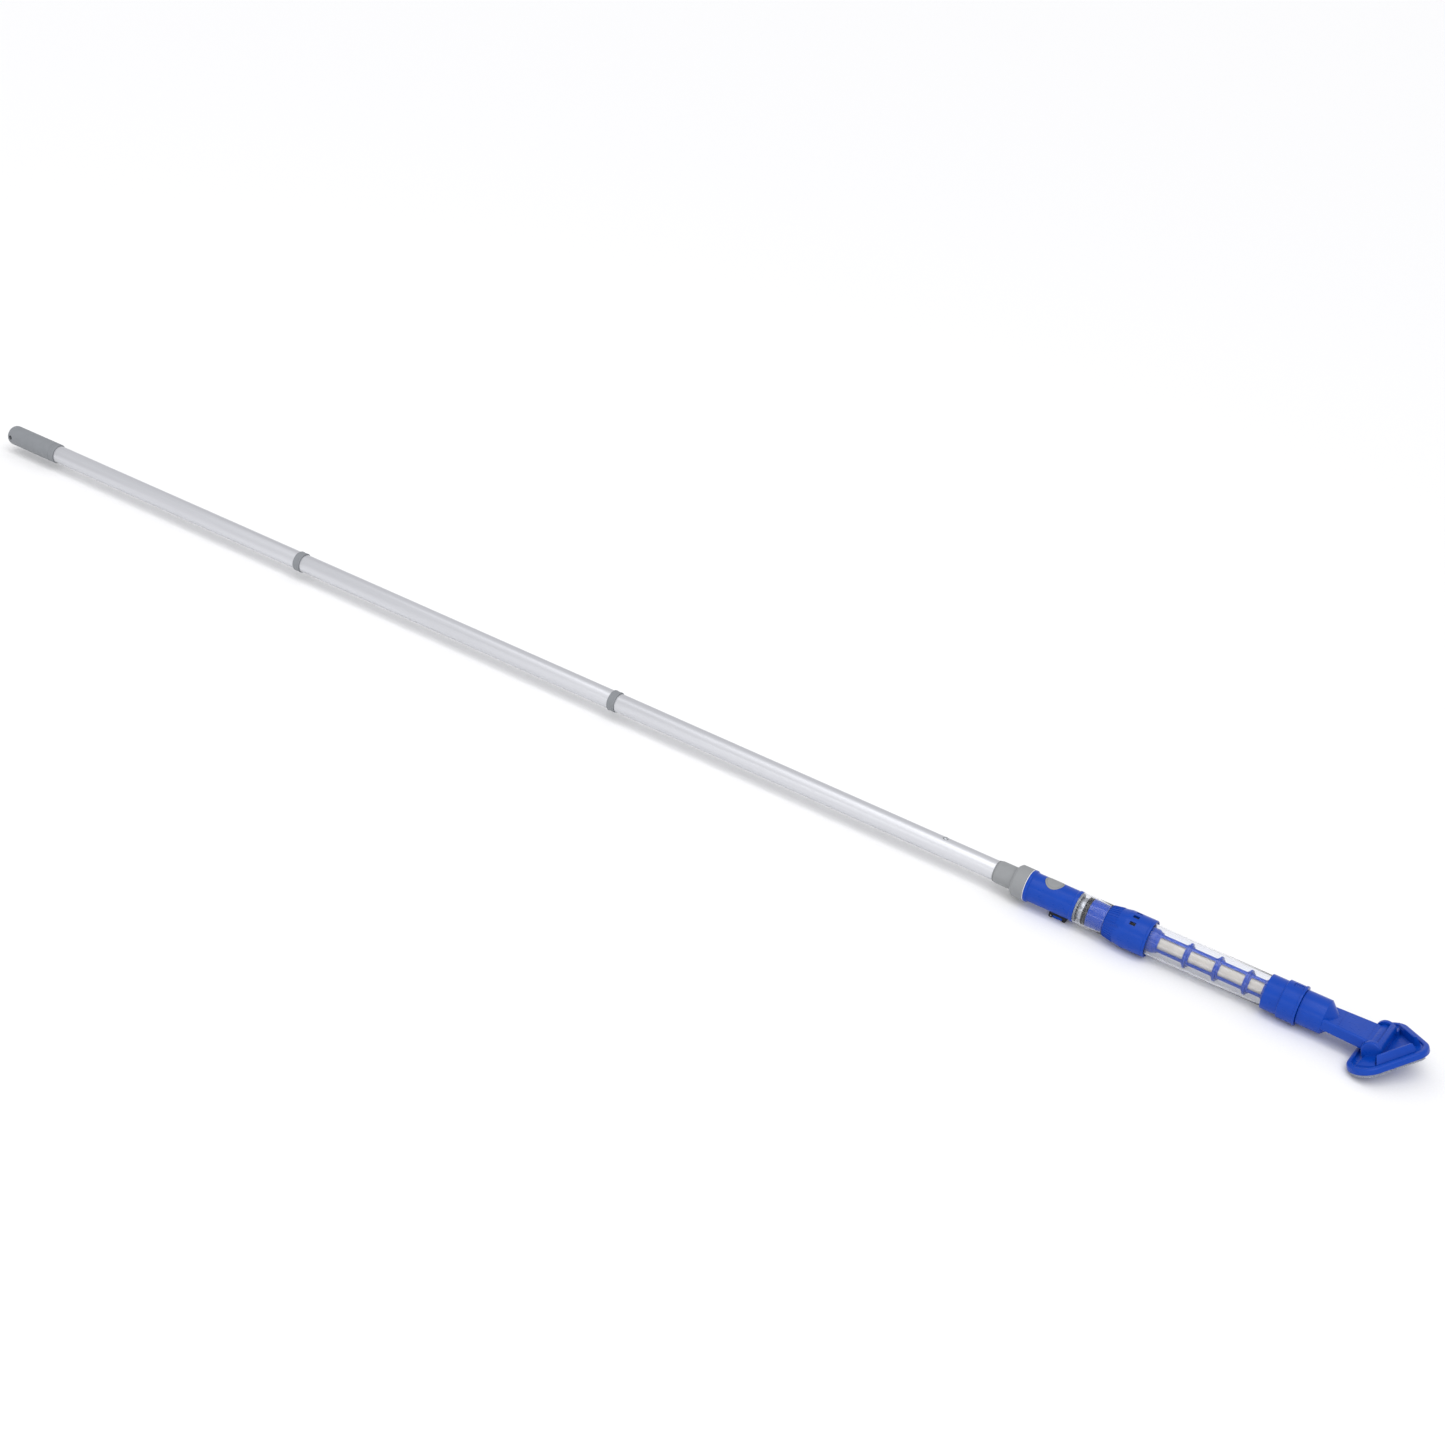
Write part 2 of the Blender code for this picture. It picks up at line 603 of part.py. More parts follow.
def build_pole():
    lower = turned("lower_tube", [(LOWER_JOINT_X, TUBE_R), (-GAP, TUBE_R), (-GAP, TUBE_BORE_R),
                                  (LOWER_JOINT_X, TUBE_BORE_R)], ALUMINIUM)
    hole = rod("snap_hole_cutter", "Z", SNAP_R + GAP, 0.0, 2 * TUBE_R, (SNAP_X, 0.0, 0.0))
    combine(lower, hole)
    swaged_tube("middle_tube", UPPER_JOINT_X, LOWER_JOINT_X - SHOULDER)
    swaged_tube("upper_tube", TOP_TUBE_END_X, UPPER_JOINT_X - SHOULDER)
    tube_collar("lower_tube_collar", LOWER_JOINT_X)
    tube_collar("upper_tube_collar", UPPER_JOINT_X)

    bore = TUBE_R + GAP
    bore_end = TOP_TUBE_END_X - GAP
    tip = GRIP_TIP_X
    grip = turned("handle_grip", [(tip, 0.0), (tip, 0.55 * GRIP_R), (tip + 0.15 * GRIP_TIP, 0.76 * GRIP_R),
                                  (tip + 0.45 * GRIP_TIP, 0.92 * GRIP_R), (tip + GRIP_TIP, GRIP_R),
                                  (GRIP_FRONT_X - 2 * EDGE, GRIP_R),
                                  (GRIP_FRONT_X, GRIP_R - EDGE), (GRIP_FRONT_X, bore),
                                  (bore_end, bore), (bore_end, 0.0)], DARK_GREY)
    hole = rod("hang_hole_cutter", "Y", HANG_HOLE_R, -GRIP_R - OVERRUN, GRIP_R + OVERRUN,
               (tip + HANG_HOLE_INSET, 0.0, 0.0))
    combine(grip, hole)


# ---------------------------------------------------------------- adapter, snap button, rear cap
def build_adapter():
    flange_x = CAP_X + CAP_FACE + GAP
    flange_end = flange_x + FLANGE_THICK
    flange_r = CAP_R - CAP_WALL - GAP
    adapter = turned("pole_adapter", [
        (-SPIGOT_LENGTH, SPIGOT_BORE_R), (-SPIGOT_LENGTH, PLUG_R - EDGE),
        (-SPIGOT_LENGTH + 2 * EDGE, PLUG_R), (0.0, PLUG_R), (0.0, BARREL_R - 1.75 * EDGE),
        (BARREL_TAPER, BARREL_R), (flange_x, BARREL_R),
        (flange_x, flange_r), (flange_end, flange_r), (flange_end, SPIGOT_BORE_R - FLANGE_STOP),
        (flange_x, SPIGOT_BORE_R - FLANGE_STOP), (flange_x - FLANGE_STOP, SPIGOT_BORE_R)], GREY)
    hole = rod("spigot_hole_cutter", "Z", SNAP_R + GAP, 0.0, TUBE_R, (SNAP_X, 0.0, 0.0))
    combine(adapter, hole)

    shoulder_r = SNAP_R + SNAP_FLANGE
    flange_top = math.sqrt(SPIGOT_BORE_R ** 2 - shoulder_r ** 2) - GAP
    dome_top = TUBE_R + SNAP_PROUD
    flange_low = flange_top - SNAP_FLANGE
    button = turned("snap_button", [
        (flange_low, 0.0), (flange_low, shoulder_r), (flange_top, shoulder_r), (flange_top, SNAP_R),
        (dome_top - SNAP_DOME, SNAP_R), (dome_top - 0.3 * SNAP_DOME, 0.75 * SNAP_R),
        (dome_top, 0.35 * SNAP_R),
        (dome_top, 0.0)], STEEL, SMALL_SIDES, location=(SNAP_X, 0.0, 0.0))
    button.rotation_euler = (0.0, 0.0, 0.0)

    leg_top = flange_low - GAP
    floor = -math.sqrt(SPIGOT_BORE_R ** 2 - CLIP_HALF_WIDTH ** 2) + GAP
    bend_x = SNAP_X + CLIP_LENGTH
    middle = (leg_top + floor) / 2
    bend_r = (leg_top - floor) / 2
    bend = [(bend_x + bend_r * math.cos(a), middle + bend_r * math.sin(a))
            for a in [math.pi / 2 - math.pi * i / 8 for i in range(9)]]
    inner_r = bend_r - CLIP_THICK
    inner = [(bend_x + inner_r * math.cos(a), middle + inner_r * math.sin(a))
             for a in [-math.pi / 2 + math.pi * i / 8 for i in range(9)]]
    leg_end = SNAP_X - shoulder_r
    plate("snap_spring", [(leg_end, leg_top)] + bend + [(leg_end, floor), (leg_end, floor + CLIP_THICK)]
          + inner + [(leg_end, leg_top - CLIP_THICK)], CLIP_HALF_WIDTH, STEEL)


def build_rear_cap():
    inner_r = CAP_R - CAP_WALL
    face = CAP_X + CAP_FACE
    neck_r = BARREL_R + GAP
    turned("rear_cap", [
        (CAP_X, neck_r), (CAP_X, CAP_R - CAP_CHAMFER - GAP), (CAP_X + CAP_CHAMFER, CAP_R - GAP),
        (CAP_X + CAP_CHAMFER + EDGE, CAP_R), (CAP_END_X, CAP_R), (CAP_END_X, inner_r), (face, inner_r),
        (face, neck_r)], GREY)
    seal_x = CAP_END_X + GAP
    turned("cap_seal", [(seal_x, inner_r), (seal_x, CAP_R - GAP),
                        (seal_x + SEAL_THICK, CAP_R - GAP), (seal_x + SEAL_THICK, inner_r)],
           SILICONE, INNER_SIDES)


# ---------------------------------------------------------------- battery housing
def build_housing():
    thread_r = CAP_R - CAP_WALL - 2 * GAP
    thread_x = CAP_X + CAP_FACE + FLANGE_THICK + 2 * GAP
    lip_end = HOUSING_X + LIP_LENGTH
    end = HOUSING_END_X
    housing = turned("battery_housing", [
        (thread_x, HOUSING_BORE_R), (thread_x, thread_r), (HOUSING_X, thread_r), (HOUSING_X, LIP_R),
        (lip_end, LIP_R), (lip_end + LIP_FADE, HOUSING_R),
        (end - FRONT_LIP - LIP_FADE, HOUSING_R), (end - FRONT_LIP, FRONT_LIP_R),
        (end, FRONT_LIP_R), (end, HOUSING_BORE_R)], BLUE)
    hole = rod("bezel_hole_cutter", "Z", BEZEL_R + GAP, 0.0, 2 * HOUSING_R,
               (BUTTON_X, 0.0, 0.0), sides=ROUND_SIDES)
    combine(housing, hole)
    combine(housing, rod("port_cutter", "Z", PORT_R, -HOUSING_R - OVERRUN, 0.0, (PORT_X, 0.0, 0.0)))


def build_port():
    """The charging port: a frame that also carries the tool on the floor, and its hinged cover."""
    half = FRAME_LENGTH / 2
    base_low = -HOUSING_R - GAP - FRAME_BASE
    foot_low = -HOUSING_R - FRAME_DEPTH
    left = PORT_X - half
    right = PORT_X + half
    ear_x = left + FRAME_FOOT + OVERRUN
    frame = plate("port_frame", [
        (left, 0.9 * -HOUSING_R), (right, 0.9 * -HOUSING_R), (right, foot_low + EDGE),
        (right - EDGE, foot_low), (right - FRAME_FOOT, foot_low), (right - FRAME_FOOT, base_low),
        (ear_x, base_low), (ear_x, foot_low + EAR_CHAMFER), (ear_x - EAR_CHAMFER, foot_low),
        (left + EDGE, foot_low), (left, foot_low + EDGE)],
        FRAME_HALF_WIDTH, RUBBER)
    combine(frame, rod("frame_saddle_cutter", "X", HOUSING_R + GAP, left - OVERRUN, right + OVERRUN,
                       sides=ROUND_SIDES))
    combine(frame, rod("frame_port_cutter", "Z", PORT_R, foot_low, 0.0, (PORT_X, 0.0, 0.0)))
    pin_x = left + KNUCKLE_R + PIN_FROM_FOOT
    pin_z = foot_low + GAP + KNUCKLE_R
    knuckle_half = FRAME_HALF_WIDTH - HINGE_EAR
    combine(frame, box("knuckle_gap_cutter", (left - OVERRUN, -knuckle_half - GAP, foot_low - OVERRUN),
                       (ear_x + OVERRUN, knuckle_half + GAP, base_low)))
    combine(frame, rod("frame_pin_cutter", "Y", COVER_PIN_R + GAP, -HOUSING_R, HOUSING_R,
                       (pin_x, 0.0, pin_z), sides=SMALL_SIDES))

    cover_top = base_low - GAP
    cover_low = foot_low + 2 * GAP
    cover_left = ear_x + 2 * GAP
    cover = box("port_cover", (cover_left, -FRAME_HALF_WIDTH, cover_low),
                (right - FRAME_FOOT - 2 * GAP, FRAME_HALF_WIDTH, cover_top), BLUE)
    combine(cover, box("cover_arm", (pin_x, -knuckle_half, pin_z - KNUCKLE_R + ARM_ABOVE),
                       (cover_left + OVERRUN, knuckle_half, pin_z + KNUCKLE_R - ARM_BELOW)), "UNION")
    combine(cover, rod("cover_knuckle", "Y", KNUCKLE_R, -knuckle_half, knuckle_half,
                       (pin_x, 0.0, pin_z), sides=SMALL_SIDES), "UNION")
    combine(cover, rod("cover_bore_cutter", "Y", COVER_PIN_R + GAP, -HOUSING_R, HOUSING_R,
                       (pin_x, 0.0, pin_z), sides=SMALL_SIDES))
    rod("cover_pin", "Y", COVER_PIN_R, -FRAME_HALF_WIDTH, FRAME_HALF_WIDTH, (pin_x, 0.0, pin_z),
        STEEL, sides=SMALL_SIDES)

    jack_low = -HOUSING_R + JACK_INSET
    jack = rod("charging_jack", "Z", JACK_R, jack_low, jack_low + JACK_LENGTH, (PORT_X, 0.0, 0.0),
               DARK_GREY, sides=SMALL_SIDES)
    combine(jack, rod("jack_bore_cutter", "Z", 0.5 * JACK_R, jack_low - OVERRUN,
                      jack_low + 0.75 * JACK_LENGTH, (PORT_X, 0.0, 0.0), sides=SMALL_SIDES))


# ---------------------------------------------------------------- power button and battery pack
BOARD_LOW = CELL_R - CELL_DROP + BOARD_ABOVE_CELLS
BOARD_TOP = BOARD_LOW + BOARD_THICK
BUTTON_LOW = HOUSING_R + GAP - BUTTON_THICK
CELL_Y = CELL_R + GAP / 3
CELL_X = HOUSING_X + CELL_END_ROOM
CELL_END_X = CELL_X + CELL_LENGTH


def build_button():
    skin = rod("button_skin", "X", HOUSING_R + GAP, BUTTON_X - 2 * BEZEL_R, BUTTON_X + 2 * BEZEL_R,
               sides=ROUND_SIDES)
    bore_r = BEZEL_R - BEZEL_WALL
    bezel_low = BUTTON_LOW - BEZEL_DEPTH
    bezel = rod("button_bezel", "Z", BEZEL_R, bezel_low, 2 * HOUSING_R, (BUTTON_X, 0.0, 0.0),
                GREY, sides=ROUND_SIDES)
    combine(bezel, rod("bezel_bore_cutter", "Z", bore_r, bezel_low - OVERRUN, 3 * HOUSING_R,
                       (BUTTON_X, 0.0, 0.0), sides=ROUND_SIDES))
    combine(bezel, skin, "INTERSECT")
    cap = rod("power_button", "Z", bore_r - GAP, BUTTON_LOW, 2 * HOUSING_R,
              (BUTTON_X, 0.0, 0.0), GREY, sides=ROUND_SIDES)
    combine(cap, skin, "INTERSECT")
    combine(cap, rod("button_stem", "Z", STEM_R, BUTTON_LOW - STEM_LENGTH, BUTTON_LOW + OVERRUN,
                     (BUTTON_X, 0.0, 0.0), sides=SMALL_SIDES), "UNION")
    low = BOARD_TOP + GAP + SPRING_WIRE_R
    high = BUTTON_LOW - GAP - SPRING_WIRE_R
    wire("button_spring", helix(SPRING_R, low, high, SPRING_TURNS, (BUTTON_X, 0.0)),
         SPRING_WIRE_R, STEEL)


def build_battery_pack():
    rear = CELL_X - GAP - CARRIER_DISC
    front = CELL_END_X + GAP + 0.6 * CARRIER_DISC
    disc_r = HOUSING_BORE_R - GAP
    carrier = rod("battery_carrier", "X", disc_r, rear, CELL_X - GAP, material=DARK_GREY, sides=ROUND_SIDES)
    combine(carrier, rod("carrier_front_disc", "X", disc_r, CELL_END_X + GAP, front,
                         sides=ROUND_SIDES), "UNION")
    for side in (-1, 1):
        y = sorted((side * (BOARD_HALF_WIDTH + GAP), side * (BOARD_HALF_WIDTH + GAP + RAIL_WIDTH)))
        rail = box("carrier_rail", (rear, y[0], BOARD_LOW - RAIL_LAP),
                   (front, y[1], BOARD_LOW - RAIL_LAP + RAIL_HEIGHT))
        combine(carrier, rail, "UNION")
    combine(carrier, box("carrier_lead_cutter", (CELL_END_X, -2 * LEAD_Y, BOARD_TOP + OVERRUN),
                         (front + OVERRUN, 2 * LEAD_Y, HOUSING_R)))
    for side, name in ((-1, "battery_cell_near"), (1, "battery_cell_far")):
        rod(name, "X", CELL_R, CELL_X, CELL_END_X, (0.0, side * CELL_Y, -CELL_DROP), CELL_WRAP,
            sides=INNER_SIDES, bevel=CELL_BEVEL)
    box("control_board", (CELL_X + BOARD_END, -BOARD_HALF_WIDTH, BOARD_LOW),
        (CELL_END_X - BOARD_END, BOARD_HALF_WIDTH, BOARD_TOP), BOARD_GREEN)
    half = SWITCH_SIZE / 2
    switch_low = BOARD_TOP + GAP
    switch = box("tact_switch", (BUTTON_X - half, -half, switch_low),
                 (BUTTON_X + half, half, switch_low + SWITCH_HEIGHT), RUBBER)
    combine(switch, rod("switch_plunger", "Z", PLUNGER_R, switch_low + SWITCH_HEIGHT / 2,
                        switch_low + SWITCH_HEIGHT + PLUNGER_PROUD, (BUTTON_X, 0.0, 0.0),
                        sides=SMALL_SIDES), "UNION")


# ---------------------------------------------------------------- motor section
BULKHEAD_X = HOUSING_END_X - BULKHEAD_DEPTH
MOTOR_X = COVER_X + MOTOR_INSET
MOTOR_END_X = MOTOR_X + MOTOR_LENGTH
MOUNT_X = MOTOR_END_X + GAP
MOUNT_END_X = COLLAR_X + NECK_OVERLAP
IMPELLER_X = CONE_END_X + IMPELLER_ROOM
SHAFT_END_X = IMPELLER_X + BLADE_HEIGHT


def build_motor_section():
    disc_r = HOUSING_BORE_R - GAP
    pad_r = CLEAR_BORE_R - GAP
    bulkhead = turned("motor_bulkhead", [
        (BULKHEAD_X, 0.0), (BULKHEAD_X, disc_r), (COVER_X, disc_r), (COVER_X, pad_r),
        (MOTOR_X - GAP, pad_r), (MOTOR_X - GAP, 0.0)], DARK_GREY, INNER_SIDES)
    motor = turned("motor", [
        (MOTOR_X, 0.0), (MOTOR_X, MOTOR_R), (MOTOR_END_X - MOTOR_CHAMFER, MOTOR_R),
        (MOTOR_END_X, MOTOR_R - MOTOR_CHAMFER), (MOTOR_END_X, SHAFT_HOLE_R),
        (MOTOR_X + 0.4 * MOTOR_LENGTH, SHAFT_HOLE_R),
        (MOTOR_X + 0.4 * MOTOR_LENGTH, 0.0)], STEEL, INNER_SIDES)
    screw_holes = []
    lead_holes = []
    for side in (-1, 1):
        screw_y = side * SCREW_CIRCLE_R
        screw_holes.append(rod("screw_hole", "X", SCREW_R + GAP, BULKHEAD_X - OVERRUN,
                               MOTOR_X + SCREW_BITE + 2 * GAP,
                               (0.0, screw_y, 0.0), sides=SMALL_SIDES))
        lead_holes.append(rod("lead_hole", "X", LEAD_R + GAP, BULKHEAD_X - OVERRUN, MOTOR_X,
                              (0.0, side * LEAD_Y, LEAD_Z), sides=SMALL_SIDES))
    screw_cutter = join_meshes("screw_hole_cutter", screw_holes)
    combine(bulkhead, screw_cutter)
    combine(bulkhead, join_meshes("lead_hole_cutter", lead_holes))
    combine(motor, screw_cutter)

    head_x = BULKHEAD_X - GAP
    for side, word in ((-1, "near"), (1, "far")):
        place = (0.0, side * SCREW_CIRCLE_R, 0.0)
        screw = rod("bulkhead_screw_" + word, "X", SCREW_R, head_x - SCREW_HEAD / 2, MOTOR_X + SCREW_BITE,
                    place, STEEL, sides=SMALL_SIDES)
        combine(screw, rod("screw_head_" + word, "X", 2 * SCREW_R, head_x - SCREW_HEAD, head_x, place,
                           sides=SMALL_SIDES), "UNION")

    lead_start = CELL_END_X - LEAD_TAIL
    start_z = BOARD_TOP + GAP
    for side, word in ((-1, "near"), (1, "far")):
        y = side * LEAD_Y
        wire("motor_lead_" + word, [
            (lead_start, y, start_z), (lead_start, y, start_z + LEAD_RISE),
            (lead_start + LEAD_BEND, y, LEAD_Z - LEAD_BEND), (lead_start + 2.5 * LEAD_BEND, y, LEAD_Z),
            (BULKHEAD_X, y, LEAD_Z), (MOTOR_X - GAP, y, LEAD_Z)], LEAD_R, RUBBER, 1)

    turned("motor_cover", [(COVER_X, CLEAR_BORE_R), (COVER_X, MOTOR_COVER_R),
                           (COVER_END_X, MOTOR_COVER_R), (COVER_END_X, CLEAR_BORE_R)], CLEAR)
    ring_r = (CLEAR_BORE_R - MOTOR_R) / 2 - GAP
    centre_r = (CLEAR_BORE_R + MOTOR_R) / 2
    first = MOTOR_X + 0.28 * MOTOR_LENGTH
    for name, x in (("rear_o_ring", first), ("front_o_ring", first + ORING_SPACING)):
        turned(name, [(x + ring_r * math.cos(a), centre_r + ring_r * math.sin(a))
                      for a in [math.radians(60 * i) for i in range(6)]], RUBBER, INNER_SIDES)

    sleeve_x = first + ORING_SPACING + ring_r + GAP
    seal_r = SHAFT_HOLE_R + SEAL_WALL
    nose_r = seal_r + NOSE_WALL
    nose_end = IMPELLER_X - IMPELLER_ROOM / 2
    turned("motor_mount", [
        (MOUNT_X, seal_r), (MOUNT_X, MOTOR_R + GAP), (sleeve_x, MOTOR_R + GAP), (sleeve_x, pad_r),
        (COLLAR_X - GAP, pad_r),
        (COLLAR_X - GAP, COLLAR_NECK_R - GAP), (MOUNT_END_X, COLLAR_NECK_R - GAP),
        (MOUNT_END_X + NOSE_FILLET, nose_r + NOSE_FILLET), (nose_end, nose_r),
        (nose_end, seal_r)], BLUE, INNER_SIDES)
    turned("shaft_seal", [(MOUNT_X, SHAFT_HOLE_R), (MOUNT_X, seal_r - GAP), (nose_end, seal_r - GAP),
                          (nose_end, SHAFT_HOLE_R)], RUBBER, SMALL_SIDES)
    shaft_x = MOTOR_X + 0.4 * MOTOR_LENGTH + GAP
    rod("motor_shaft", "X", SHAFT_R, shaft_x, SHAFT_END_X, material=STEEL, sides=SMALL_SIDES)


# ---------------------------------------------------------------- locking collar and pump
def build_collar_and_pump():
    inside = COLLAR_BORE_R
    collar = turned("locking_collar", [
        (COLLAR_X, COLLAR_NECK_R), (COLLAR_X, COLLAR_SMALL_R),
        (COLLAR_X + COLLAR_FACE, COLLAR_SMALL_R + 0.2 * COLLAR_FACE),
        (CONE_END_X, COLLAR_BIG_R), (COLLAR_END_X - EDGE, COLLAR_BIG_R), (COLLAR_END_X, COLLAR_BIG_R - EDGE),
        (COLLAR_END_X, inside), (PUMP_PLATE_X - GAP, inside),
        (PUMP_PLATE_X - GAP, inside - COLLAR_LEDGE), (CONE_END_X, inside - COLLAR_LEDGE),
        (MOUNT_END_X + NOSE_FILLET, COLLAR_NECK_R)], BLUE)
    slots = []
    slot_x = CONE_END_X + SLOT_FROM_CONE
    for i in range(SLOT_COUNT):
        angle = math.radians(SLOT_STEP_DEG * (i - (SLOT_COUNT - 1) / 2))
        slots.append(box("slot", (slot_x - SLOT_LENGTH / 2, -SLOT_WIDTH / 2, 0.8 * COLLAR_BIG_R),
                         (slot_x + SLOT_LENGTH / 2, SLOT_WIDTH / 2, COLLAR_BIG_R + OVERRUN),
                         rotation=(angle, 0.0, 0.0)))
    combine(collar, join_meshes("slot_cutter", slots))

    hub_end = IMPELLER_X + BLADE_HEIGHT
    plate_end = IMPELLER_X + IMPELLER_PLATE
    impeller = turned("impeller", [
        (IMPELLER_X, SHAFT_HOLE_R), (IMPELLER_X, IMPELLER_R), (plate_end, IMPELLER_R),
        (plate_end, HUB_R), (hub_end, HUB_R), (hub_end, SHAFT_HOLE_R)], DARK_GREY, INNER_SIDES)
    blades = []
    for i in range(BLADE_COUNT):
        angle = 2 * math.pi * i / BLADE_COUNT
        blades.append(box("blade", (IMPELLER_X + IMPELLER_PLATE / 2, -BLADE_THICK / 2, HUB_R - OVERRUN),
                          (hub_end, BLADE_THICK / 2, IMPELLER_R - GAP), rotation=(angle, 0.0, 0.0)))
    combine(impeller, join_meshes("blade_union", blades), "UNION")

    plate_r = inside - GAP
    spigot_end = PUMP_PLATE_X + PUMP_PLATE + INLET_SPIGOT
    turned("pump_plate", [
        (PUMP_PLATE_X, PUMP_INLET_R), (PUMP_PLATE_X, plate_r), (PUMP_PLATE_X + PUMP_PLATE, plate_r),
        (PUMP_PLATE_X + PUMP_PLATE, PUMP_INLET_R + INLET_SPIGOT_WALL),
        (spigot_end, PUMP_INLET_R + INLET_SPIGOT_WALL),
        (spigot_end, PUMP_INLET_R)], DARK_GREY, INNER_SIDES)
    seal_x = PUMP_PLATE_X + PUMP_PLATE + GAP
    turned("rear_chamber_seal", [
        (seal_x, CHAMBER_BORE_R), (seal_x, CHAMBER_R), (CHAMBER_X - GAP, CHAMBER_R),
        (CHAMBER_X - GAP, CHAMBER_BORE_R)], RUBBER, INNER_SIDES)
    turned("chamber_lock_ring", [
        (COLLAR_END_X - LOCK_RING, CHAMBER_R + GAP), (COLLAR_END_X - LOCK_RING, inside - GAP),
        (COLLAR_END_X - LOCK_RING_INSET, inside - GAP),
        (COLLAR_END_X - LOCK_RING_INSET, CHAMBER_R + GAP)], BLUE)


# ---------------------------------------------------------------- debris chamber and filter
FILTER_X = PUMP_PLATE_X + PUMP_PLATE + GAP
FILTER_END_X = INLET_X - FLAP_ROOM


def ring_stations():
    """Centres of the filter cage's three raised rings."""
    first = FILTER_X + FILTER_NECK + FILTER_PITCH
    return [first + FILTER_PITCH * i for i in range(3)]


def build_chamber():
    turned("debris_chamber", [(CHAMBER_X, CHAMBER_BORE_R), (CHAMBER_X, CHAMBER_R),
                              (CHAMBER_END_X, CHAMBER_R), (CHAMBER_END_X, CHAMBER_BORE_R)], CLEAR)

    neck_end = FILTER_X + FILTER_NECK
    bore = FILTER_R - FILTER_WALL
    socket_r = PUMP_INLET_R + INLET_SPIGOT_WALL + GAP
    half_ring = FILTER_RING_WIDTH / 2
    outline = [(FILTER_X, socket_r), (FILTER_X, FILTER_NECK_R), (neck_end - FILTER_NECK_TAPER, FILTER_NECK_R),
               (neck_end, FILTER_R)]
    for x in ring_stations():
        outline += [(x - half_ring, FILTER_R), (x - half_ring, FILTER_RING_R),
                    (x + half_ring, FILTER_RING_R), (x + half_ring, FILTER_R)]
    outline += [(FILTER_END_X - EDGE, FILTER_R), (FILTER_END_X, FILTER_R - EDGE), (FILTER_END_X, 0.0),
                (FILTER_END_X - FILTER_WALL, 0.0), (FILTER_END_X - FILTER_WALL, bore),
                (neck_end, bore), (neck_end - FILTER_NECK_TAPER, socket_r)]
    cage = turned("filter_cage", outline, BLUE, INNER_SIDES)
    windows = []
    low = neck_end
    last_window_end = FILTER_END_X - WINDOW_END_MARGIN
    for high in [ring - half_ring - WINDOW_MARGIN for ring in ring_stations()] + [last_window_end]:
        x0 = low + WINDOW_MARGIN
        x1 = high
        low = high + WINDOW_MARGIN + FILTER_RING_WIDTH
        for turn in (FILTER_TURN_DEG, FILTER_TURN_DEG + 90):
            windows.append(box("window", (x0, -WINDOW_HEIGHT / 2, -FILTER_R - OVERRUN),
                               (x1, WINDOW_HEIGHT / 2, FILTER_R + OVERRUN),
                               rotation=(math.radians(turn + 45), 0.0, 0.0)))
    combine(cage, join_meshes("window_cutter", windows))
    mesh_r = bore - GAP
    turned("filter_mesh", [(neck_end + GAP, mesh_r - MESH_THICK), (neck_end + GAP, mesh_r),
                           (FILTER_END_X - FILTER_WALL - GAP, mesh_r),
                           (FILTER_END_X - FILTER_WALL - GAP, mesh_r - MESH_THICK)], MESH_CLOTH, INNER_SIDES)


# ---------------------------------------------------------------- front connector, flap, latch
SOCKET_R = SPIGOT_R + GAP
FLAP_PIN_Z = INLET_R + INLET_WALL + FLAP_KNUCKLE_R + GAP
FLAP_PIN_X = INLET_X - GAP - FLAP_THICK / 2
LATCH_X = CONNECTOR_END_X - LATCH_FROM_LIP - LATCH_LENGTH


